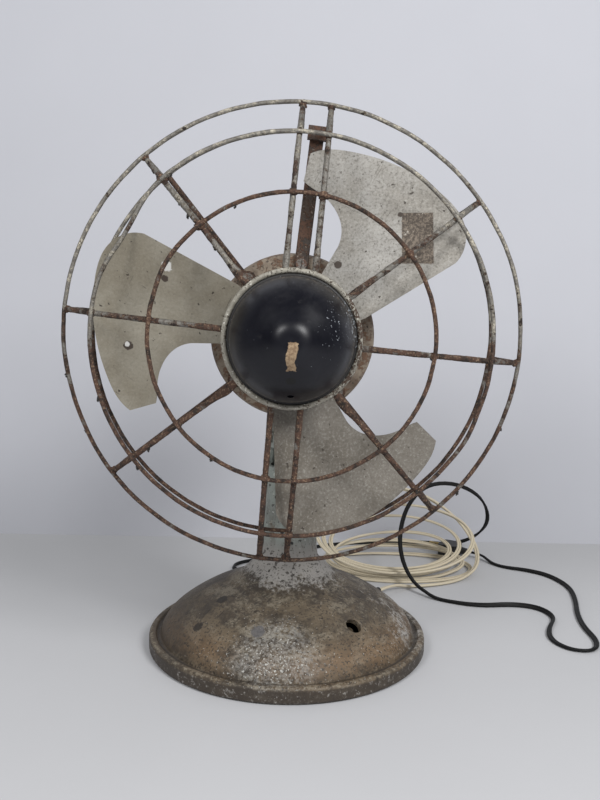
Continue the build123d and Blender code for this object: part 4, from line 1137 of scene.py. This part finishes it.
@dataclass
class Bodywork:
    """Finishes of the pieces whose shape comes from the frame."""

    axis_height: float

    def own_looks(self) -> dict[str, bpy.types.Material]:
        """Finishes of single nodes."""
        axis = self.axis_height
        white: Colour = (0.62, 0.61, 0.58)
        brown: Colour = (0.05, 0.035, 0.025)
        blade_1 = BladePaint(
            "blade_paint_1", (0.330, 0.316, 0.290), (0.255, 0.238, 0.208), 0.62,
            (((0.0335, axis + 0.0555), 0.0030, brown),
             ((0.0785, axis + 0.0930), 0.0020, brown)),
            (0.0795, 0.1025, axis + 0.0560, axis + 0.0945))
        # Blade 2's enamel is painted darker than blade 1's, as painted shade; the blades share
        # one paint.
        blade_2 = BladePaint(
            "blade_paint_2", (0.272, 0.248, 0.196), (0.215, 0.190, 0.142), 0.22,
            (((-0.1255, axis - 0.0085), 0.0036, brown),
             ((-0.1262, axis - 0.0075), 0.0020, white),
             ((-0.0925, axis + 0.0510), 0.0042, white),
             ((-0.0945, axis + 0.0420), 0.0028, brown)))
        # Blade 3's enamel is painted darkest, as painted shade on the lowest blade; its specks
        # are its own.
        blade_3 = BladePaint("blade_paint_3", (0.170, 0.153, 0.128), (0.122, 0.106, 0.084), 0.50)
        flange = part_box("base_casting")[1].x
        return {"base_casting": CastEnamel(flange_radius=flange).material(),
                "blade_1": blade_1.material(), "blade_2": blade_2.material(),
                "blade_3": blade_3.material(),
                "guard_hub_ring": BandPaint().material(),
                "nose_cap": CapGloss(axis).material(),
                "rear_stays": GuardWire("stay_wire", axis, 0.55, 0.70).material()}

    def build(self, frame: dict) -> None:
        """Puts a finish on every node that is shown."""
        own = self.own_looks()
        slots = {part["node"]: part["material_slot"] for part in frame["record"]["subparts"]}
        shared: dict[str, bpy.types.Material] = {}
        for name, node in frame["nodes"].items():
            look = own.get(name)
            if look is None:
                finish = Finish.of_slot(slots[name])
                if finish is None:
                    LOG.info("node %s is replaced", name)
                    continue
                if finish.name not in shared:
                    shared[finish.name] = finish.value.material()
                look = shared[finish.name]
            node.data.materials.clear()
            node.data.materials.append(look)


# ---- stage ------------------------------------------------------------------------
@dataclass
class Stage:
    """Pale table and wall, two soft lamps, and the camera."""

    wall_depth: float = 0.331
    table: Colour = (0.550, 0.553, 0.570)
    wall: Colour = (0.555, 0.562, 0.600)
    light: float = 0.44
    gloss: float = 0.10
    backdrop: float = 0.66
    reach: float = 3.0
    lamps: tuple[tuple[str, Point, float, float], ...] = (
        ("lamp_right", (0.62, -0.98, 0.95), 0.42, 13.0),
        ("lamp_left", (-0.56, -1.0, 0.92), 0.36, 6.5))
    lamps_aim: Point = (0.0, 0.0, 0.2)
    camera_place: Point = (0.0027, -0.6983, 0.2956)
    yaw_pitch_roll: tuple[float, float, float] = (0.40, 6.13, 1.15)
    focal_pixels: float = 795.6
    picture_pixels: float = 800.0
    sensor_width: float = 36.0

    def sheet(self, name: str, corners: list[Point], colour: Colour,
              see_through: bool) -> bpy.types.Object:
        """One flat sheet of the stage, which may be open to views from behind."""
        form = bmesh.new()
        form.faces.new([form.verts.new(corner) for corner in corners])
        piece = finished(name, form, smooth=False, clean=False)
        s = Shader(name)
        cloud = s.noise(0.35, 4)
        tint = s.mix(cloud.ramp(0.3, 0.7), colour, tuple(value * 0.97 for value in colour))
        surface = s.node("ShaderNodeBsdfDiffuse", None, {"Color": tint})
        if see_through:
            back = s.node("ShaderNodeNewGeometry", output="Backfacing")
            clear = s.node("ShaderNodeBsdfTransparent")
            surface = s.node("ShaderNodeMixShader", None, {0: back, 1: surface, 2: clear})
        piece.data.materials.append(s.closed(surface))
        return piece

    def lamp(self, name: str, at: Point, size: float, power: float) -> None:
        """A square soft lamp that looks at the middle of the fan."""
        data = bpy.data.lights.new(name, "AREA")
        data.shape = "SQUARE"
        data.size = size
        data.energy = power
        lamp = bpy.data.objects.new(name, data)
        lamp.location = at
        way = Vector(self.lamps_aim) - Vector(at)
        lamp.rotation_euler = way.to_track_quat("-Z", "Y").to_euler()
        bpy.context.scene.collection.objects.link(lamp)

    def build(self) -> None:
        """Makes the stage, the light and the camera."""
        far, end = self.wall_depth, self.reach
        self.sheet("table_top", [(-end, -end, 0), (end, -end, 0), (end, end, 0), (-end, end, 0)],
                   self.table, False)
        wall = self.sheet("wall", [(-end, far, 0), (end, far, 0), (end, far, end),
                                   (-end, far, end)], self.wall, True)
        wall.visible_diffuse = False
        wall.visible_shadow = False
        s = Shader("room_light", world=True)
        shiny = s.node("ShaderNodeLightPath", output="Is Glossy Ray")
        seen = s.node("ShaderNodeLightPath", output="Is Camera Ray")
        strength = shiny * (self.gloss - self.light) + seen * (self.backdrop - self.light)
        strength = strength + self.light
        bpy.context.scene.world = s.closed(s.node(
            "ShaderNodeBackground", None, {"Color": (0.97, 0.98, 1.0), "Strength": strength}))
        for name, at, size, power in self.lamps:
            self.lamp(name, at, size, power)
        bpy.context.scene.view_settings.view_transform = "Standard"
        self.camera()

    def camera(self) -> None:
        """Places the camera at the photograph's viewing angle."""
        yaw, pitch, roll = (math.radians(angle) for angle in self.yaw_pitch_roll)
        ahead = Vector((math.sin(yaw) * math.cos(pitch), math.cos(yaw) * math.cos(pitch),
                        -math.sin(pitch)))
        right = Vector((math.cos(yaw), -math.sin(yaw), 0))
        up = right.cross(ahead)
        level = Matrix((right, up, -ahead)).transposed()
        data = bpy.data.cameras.new("camera")
        data.sensor_width = self.sensor_width
        data.lens = self.focal_pixels / self.picture_pixels * self.sensor_width
        camera = bpy.data.objects.new("camera", data)
        turned = level.to_4x4() @ Matrix.Rotation(roll, 4, "Z")
        camera.matrix_world = Matrix.Translation(self.camera_place) @ turned
        bpy.context.scene.collection.objects.link(camera)
        bpy.context.scene.camera = camera


def joint_height(frame: dict, name: str) -> float:
    """Height of a joint's axis above the table."""
    return next(joint["pos_m"][2] for joint in frame["joints"] if joint["name"] == name)


def main() -> None:
    """Builds the looks of the whole fan around its frame."""
    logging.basicConfig(level=logging.INFO, format="%(name)s: %(message)s")
    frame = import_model()
    axis_height = joint_height(frame, "fan_spin")
    Bodywork(axis_height).build(frame)
    Guard(axis_height).build()
    Cords().build()
    Stage().build()


if __name__ == "__main__":
    main()
